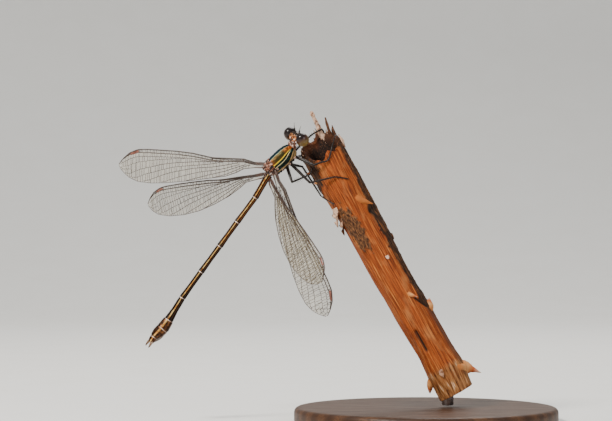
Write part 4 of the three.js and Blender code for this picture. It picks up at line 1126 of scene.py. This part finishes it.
def wing_veins(place, seed):
    """The long veins, then a staggered net of cross veins between them."""
    draw = random.Random(seed)
    shapes, lines = [], []
    for name, thick, stops in LONG_VEINS:
        at_s = np.array([stop[0] for stop in stops])
        at_t = np.array([stop[1] for stop in stops])
        count = max(8, int((at_s[-1] - at_s[0]) * 60))
        run_s = np.linspace(at_s[0], at_s[-1], count)
        run_t = np.interp(run_s, at_s, at_t)
        if len(stops) > 2:
            run_t = np.convolve(np.pad(run_t, 2, mode="edge"), np.ones(5) / 5, mode="valid")
        path = [place(s, t) for s, t in zip(run_s, run_t)]
        fade = np.interp(run_s, (0, 0.5, 1), (1.15, 0.9, 0.6))
        if name == "front":
            fade = np.interp(run_s, (0, 0.36, 0.372, 0.385, 0.9, 1), (1.1, 1.0, 1.35, 0.95, 0.8, 0.5))
        shapes.append(tube(path, thick * fade * 1.12, 8, 1))
        lines.append((run_s, run_t))
    s = 0.13
    while s < 0.985:
        crossing = sorted(float(np.interp(s, run_s, run_t)) for run_s, run_t in lines
                          if run_s[0] <= s <= run_s[-1])
        for low, high in zip(crossing, crossing[1:]):
            if high - low < 0.03:
                continue
            shift = draw.uniform(-0.006, 0.006)
            pieces = 1 + int((high - low) * (3.2 if s > 0.3 else 2.0))
            cuts = np.linspace(low, high, pieces + 1)
            for first, last in zip(cuts, cuts[1:]):
                at = s + (shift + draw.uniform(-0.004, 0.004))
                shapes.append(straight_rod(place(at, first), place(at, last), CROSS_VEIN_RADIUS))
            for cut in cuts[1:-1]:
                ahead = min(s + 0.024, 0.99)
                shapes.append(straight_rod(place(s - 0.004, cut), place(ahead, cut), FINE_VEIN_RADIUS))
        step = 0.017 + 0.009 * (s < 0.35)
        s += step * draw.uniform(0.85, 1.15)
    return shapes


def wing_spot(place, start, end):
    """The coloured cell near the tip: a thickened lens between the first and main veins."""
    rows = []
    for s in np.linspace(start + 0.001, end - 0.001, 16):
        edge = min((s - start) / 0.012, (end - s) / 0.012, 1.0)
        row = []
        for turn in np.linspace(0, 2 * np.pi, 20, endpoint=False):
            lean = (s - 0.9) * 0.4
            t = 0.055 + lean * 0.02 + 0.055 * edge * math.cos(turn)
            row.append(place(s, max(t, -0.01), 0.075 * edge * math.sin(turn)))
        rows.append(row)
    return with_marks(skin_of(rows, 20), spot=1.0)


def hinge_stub(place):
    """The leathery stalk where the long veins run together into the thorax."""
    shapes = []
    for t, thick in ((0.02, 0.17), (0.32, 0.14), (0.98, 0.12)):
        stops = [place(0.012, 0.2 + t * 0.5), place(0.045, t), place(0.085, t)]
        shapes.append(with_marks(tube(stops, (thick * 1.2, thick, thick * 0.7), 10, 4), spot=0.12))
    return shapes


membrane, tree, surface = new_material("wing_membrane", (0.60, 0.56, 0.44), 0.16)
place = millimetres(tree)
film = grain(tree, place, 0.5, 2.0)
feed(tree, surface, Base_Color=ramp(tree, film, [(0.35, (0.27, 0.21, 0.11)), (0.65, (0.40, 0.34, 0.22))]),
     Normal=relief(tree, grain(tree, place, 2.2, 2.0), 0.03, 0.3))
surface.inputs["Alpha"].default_value = 0.18
surface.inputs["Specular IOR Level"].default_value = 0.38
vein_skin, tree, surface = new_material("wing_vein", roughness=0.42)
place = millimetres(tree)
fine = grain(tree, place, 3.0, 4.0)
spot = measured(tree, "spot")
tone = ramp(tree, fine, [(0.35, (0.014, 0.006, 0.003)), (0.65, (0.045, 0.020, 0.009))])
spot_tone = ramp(tree, fine, [(0.38, (0.10, 0.028, 0.016)), (0.55, (0.22, 0.070, 0.045)),
                              (0.70, (0.38, 0.17, 0.12))])
tone = blend(tree, spot, tone, spot_tone)
feed(tree, surface, Base_Color=tone, Roughness=grey_ramp(tree, fine, [(0.3, 0.32), (0.7, 0.5)]),
     Normal=relief(tree, fine, 0.01, 0.4))
for seed, (wing, sizes) in enumerate(WINGS.items()):
    place = wing_reader(*sizes)
    add_piece("membrane_" + wing, [wing_membrane(place)], membrane, ("wing_" + wing,))
    spot_start, spot_end = SPOT_SPAN[wing.split("_")[0]]
    shapes = wing_veins(place, 30 + seed) + [wing_spot(place, spot_start, spot_end)] + hinge_stub(place)
    for share in (spot_start - 0.003, spot_end + 0.002):
        shapes.append(straight_rod(place(share, 0.0), place(share, 0.12), 0.06))
    for share, thick in NOTCH_VEINS:
        shapes.append(straight_rod(place(share, -0.01), place(share, 0.13), thick))
    add_piece("veins_" + wing, shapes, vein_skin)


# Legs: six thin dark legs with tan inner faces, each thigh and shin fringed by long stiff spines.
# Every foot has three short joints and a pair of hooked claws that hold the cane.
def in_thorax(front, right, back):
    return THORAX_CENTRE + FORWARD * front + RIGHT * right + DORSAL * back


# Each leg: hip, knee, the shin's points up to the ankle, then the foot's points
LEGS = {
    "front_right": (in_thorax(1.95, 0.45, -1.05), (-18.75, -3.75, 42.75),
                    [on_cane(1.95, 1, 0.36), on_cane(0.35, 26, 0.34)],
                    [on_cane(-0.55, 44, 0.24), on_cane(-1.0, 58, 0.16)]),
    "middle_right": (in_thorax(0.65, 0.55, -1.6), (-19.35, -3.3, 39.85), [on_cane(4.95, -6, 0.36)],
                     [on_cane(5.6, 8, 0.24), on_cane(6.3, 22, 0.16)]),
    "hind_right": (in_thorax(-0.15, 0.6, -1.65), (-22.3, -2.9, 39.95), [on_cane(2.6, -74, 0.5)],
                   [on_cane(2.35, -64, 0.28), on_cane(1.9, -52, 0.18)]),
    "front_left": (in_thorax(1.95, -0.35, -1.1), (-20.9, 1.3, 46.2),
                   [(-19.0, 1.6, 47.95), (-17.35, 2.15, 48.9)],
                   [(-17.02, 2.45, 48.5), (-17.0, 2.62, 47.95)]),
    "middle_left": (in_thorax(0.75, -0.45, -1.6), (-20.2, 3.0, 44.6), [on_cane(4.4, -122, 0.5)],
                    [on_cane(5.0, -108, 0.28), on_cane(5.9, -98, 0.18)]),
    "hind_left": (in_thorax(-0.1, -0.5, -1.65), (-20.6, 2.9, 42.6), [on_cane(6.6, -82, 0.5)],
                  [on_cane(7.5, -70, 0.26), on_cane(8.8, -50, 0.16)]),
}


def spine_rows(limb, count, long, draw):
    """Two rows of stiff spines along a limb, leaning towards its far end."""
    path = curve_through(limb, 12)
    shapes = []
    for i in range(count):
        share = 0.14 + 0.8 * i / count
        at = int(share * (len(path) - 2))
        along = unit(path[at + 1] - path[at])
        side = np.cross(along, CANE_FRONT)
        side = side / max(np.linalg.norm(side), 0.01)
        for sign in (-1, 1):
            out = unit(side * sign + along * 0.75 + np.cross(along, side) * draw.uniform(-0.45, 0.45))
            reach = long * draw.uniform(0.75, 1.1) * (1 - 0.35 * share)
            foot = path[at]
            stops = [foot, foot + out * reach * 0.5 + along * 0.02, foot + out * reach]
            shapes.append(tube(stops, (0.030, 0.022, 0.005), 5, 2))
    return shapes


for seed, (leg, (hip, knee, shin, foot)) in enumerate(LEGS.items()):
    draw = random.Random(60 + seed)
    hip, knee = np.array(hip), np.array(knee)
    ankle = np.array(shin[-1])
    middle = hip + (knee - hip) * 0.45
    inner = unit(THORAX_CENTRE - middle) * 0.09
    inner_face = [hip + inner, middle + inner, knee + (middle - knee) * 0.12]
    hip_tan = 0.7 if leg.startswith("front") else 0.1
    thigh = [tube([hip - (knee - hip) * 0.08, hip, middle, knee], (0.34, 0.28, 0.25, 0.19), 16, 6),
             with_marks(tube(inner_face, (0.2, 0.19, 0.1), 12, 6), tan=0.7),
             with_marks(egg(hip, HEAD_AXES, (0.34, 0.34, 0.4), 20, 14), tan=hip_tan),
             egg(knee, HEAD_AXES, (0.16, 0.16, 0.17), 16, 12)]
    thigh += spine_rows([hip, middle, knee], 8, 0.62, draw)
    add_piece("thigh_" + leg, thigh, leg_skin, ("femur_" + leg,))
    shin_stops = [knee, knee + (np.array(shin[0]) - knee) * 0.5, *[np.array(p) for p in shin]]
    lower = [tube(shin_stops, np.linspace(0.175, 0.13, len(shin_stops)), 14, 6)]
    lower += spine_rows(shin_stops, 9, 0.8, draw)
    add_piece("shin_" + leg, lower, leg_skin, ("tibia_" + leg,))
    toes = [ankle, *[np.array(p) for p in foot]]
    joints = curve_through(toes, 3)
    parts = []
    for first, last in zip(joints[:-2:2], joints[2::2]):
        parts.append(tube([first, (first + last) / 2, last], (0.10, 0.12, 0.10), 12, 3))
    tip = joints[-1]
    ahead = unit(tip - joints[-2])
    spread = np.cross(ahead, CANE_FRONT)
    spread = spread / max(np.linalg.norm(spread), 0.01)
    inwards = np.cross(spread, ahead)
    for sign in (-1, 1):
        claw = [tip, tip + ahead * 0.14 + spread * sign * 0.1 + inwards * 0.03,
                tip + ahead * 0.22 + spread * sign * 0.15 - inwards * 0.06]
        parts.append(tube(claw, (0.045, 0.034, 0.01), 8, 4))
    parts += spine_rows(toes, 4, 0.25, draw)
    add_piece("foot_" + leg, parts, leg_skin, ("tarsus_" + leg,))


# Stage: a pale paper sweep that is floor in front and backdrop behind.
# It isn't part of the object.
SWEEP_HALF_WIDTH = 2000.0
FLOOR_FRONT = -2000.0
FLOOR_REAR = 350.0
SWEEP_BEND = 400.0
SWEEP_STEPS = 24
WALL_TOP = 1500.0
sweep_profile = [(FLOOR_FRONT, 0.0), (FLOOR_REAR, 0.0)]
for step in range(1, SWEEP_STEPS + 1):
    turn = math.pi / 2 * step / SWEEP_STEPS
    sweep_profile.append((FLOOR_REAR + SWEEP_BEND * math.sin(turn), SWEEP_BEND * (1 - math.cos(turn))))
sweep_profile.append((FLOOR_REAR + SWEEP_BEND, WALL_TOP))
points = [(x * MM, y * MM, z * MM) for y, z in sweep_profile
          for x in (-SWEEP_HALF_WIDTH, SWEEP_HALF_WIDTH)]
faces = [(2 * i, 2 * i + 1, 2 * i + 3, 2 * i + 2) for i in range(len(sweep_profile) - 1)]
mesh = bpy.data.meshes.new("paper_sweep")
mesh.from_pydata(points, [], faces)
mesh.shade_smooth()
paper, tree, surface = new_material("pale_paper", (0.80, 0.79, 0.76), 0.9)
tooth = grain(tree, millimetres(tree), 0.08, 4.0)
feed(tree, surface, Base_Color=blend(tree, tooth, (0.78, 0.77, 0.735), (0.82, 0.815, 0.79)))
mesh.materials.append(paper)
sweep = bpy.data.objects.new("paper_sweep", mesh)
bpy.context.scene.collection.objects.link(sweep)
sweep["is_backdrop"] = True


# Camera and lights: a long lens level with the animal, as in the photograph, and a large soft lamp
# high on the left with a weaker fill on the right and a little light from behind.
CAMERA_DISTANCE = 400.0
CAMERA_ACROSS = -20.0
CAMERA_HEIGHT = 35.25
FRAME_WIDTH = 102.0
FILM_WIDTH = 36
camera = bpy.data.objects.new("camera", bpy.data.cameras.new("camera"))
bpy.context.scene.collection.objects.link(camera)
camera.location = (CAMERA_ACROSS * MM, -CAMERA_DISTANCE * MM, CAMERA_HEIGHT * MM)
camera.rotation_euler = (math.radians(90), 0, 0)
camera.data.sensor_width = FILM_WIDTH
camera.data.lens = FILM_WIDTH * CAMERA_DISTANCE / FRAME_WIDTH
camera.data.clip_start = 0.01
bpy.context.scene.camera = camera


def add_lamp(name, at, aim, size, power, colour):
    lamp = bpy.data.lights.new(name, "AREA")
    lamp.shape = "DISK"
    lamp.size = size * MM
    lamp.energy = power
    lamp.color = colour
    holder = bpy.data.objects.new(name, lamp)
    holder.location = Vector(at) * MM
    direction = Vector(aim) - Vector(at)
    holder.rotation_euler = direction.to_track_quat("-Z", "Y").to_euler()
    bpy.context.scene.collection.objects.link(holder)


add_lamp("key_lamp", (-330, -300, 420), (-18, 0, 32), 130, 5.0, (1.0, 0.96, 0.90))
add_lamp("fill_lamp", (330, -360, 180), (-18, 0, 30), 320, 0.9, (0.92, 0.96, 1.0))
add_lamp("rim_lamp", (60, 260, 380), (-20, 0, 35), 220, 1.2, (1.0, 0.98, 0.95))
world = bpy.data.worlds.new("studio")
world.use_nodes = True
sky = world.node_tree.nodes["Background"].inputs
sky["Color"].default_value = (0.95, 0.97, 1.0, 1)
sky["Strength"].default_value = 0.45
bpy.context.scene.world = world


visual_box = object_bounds()
boxes = {"cad": cad_box, "visual": visual_box}
{key: [[float(v) for v in corner] for corner in box] for key, box in boxes.items()}
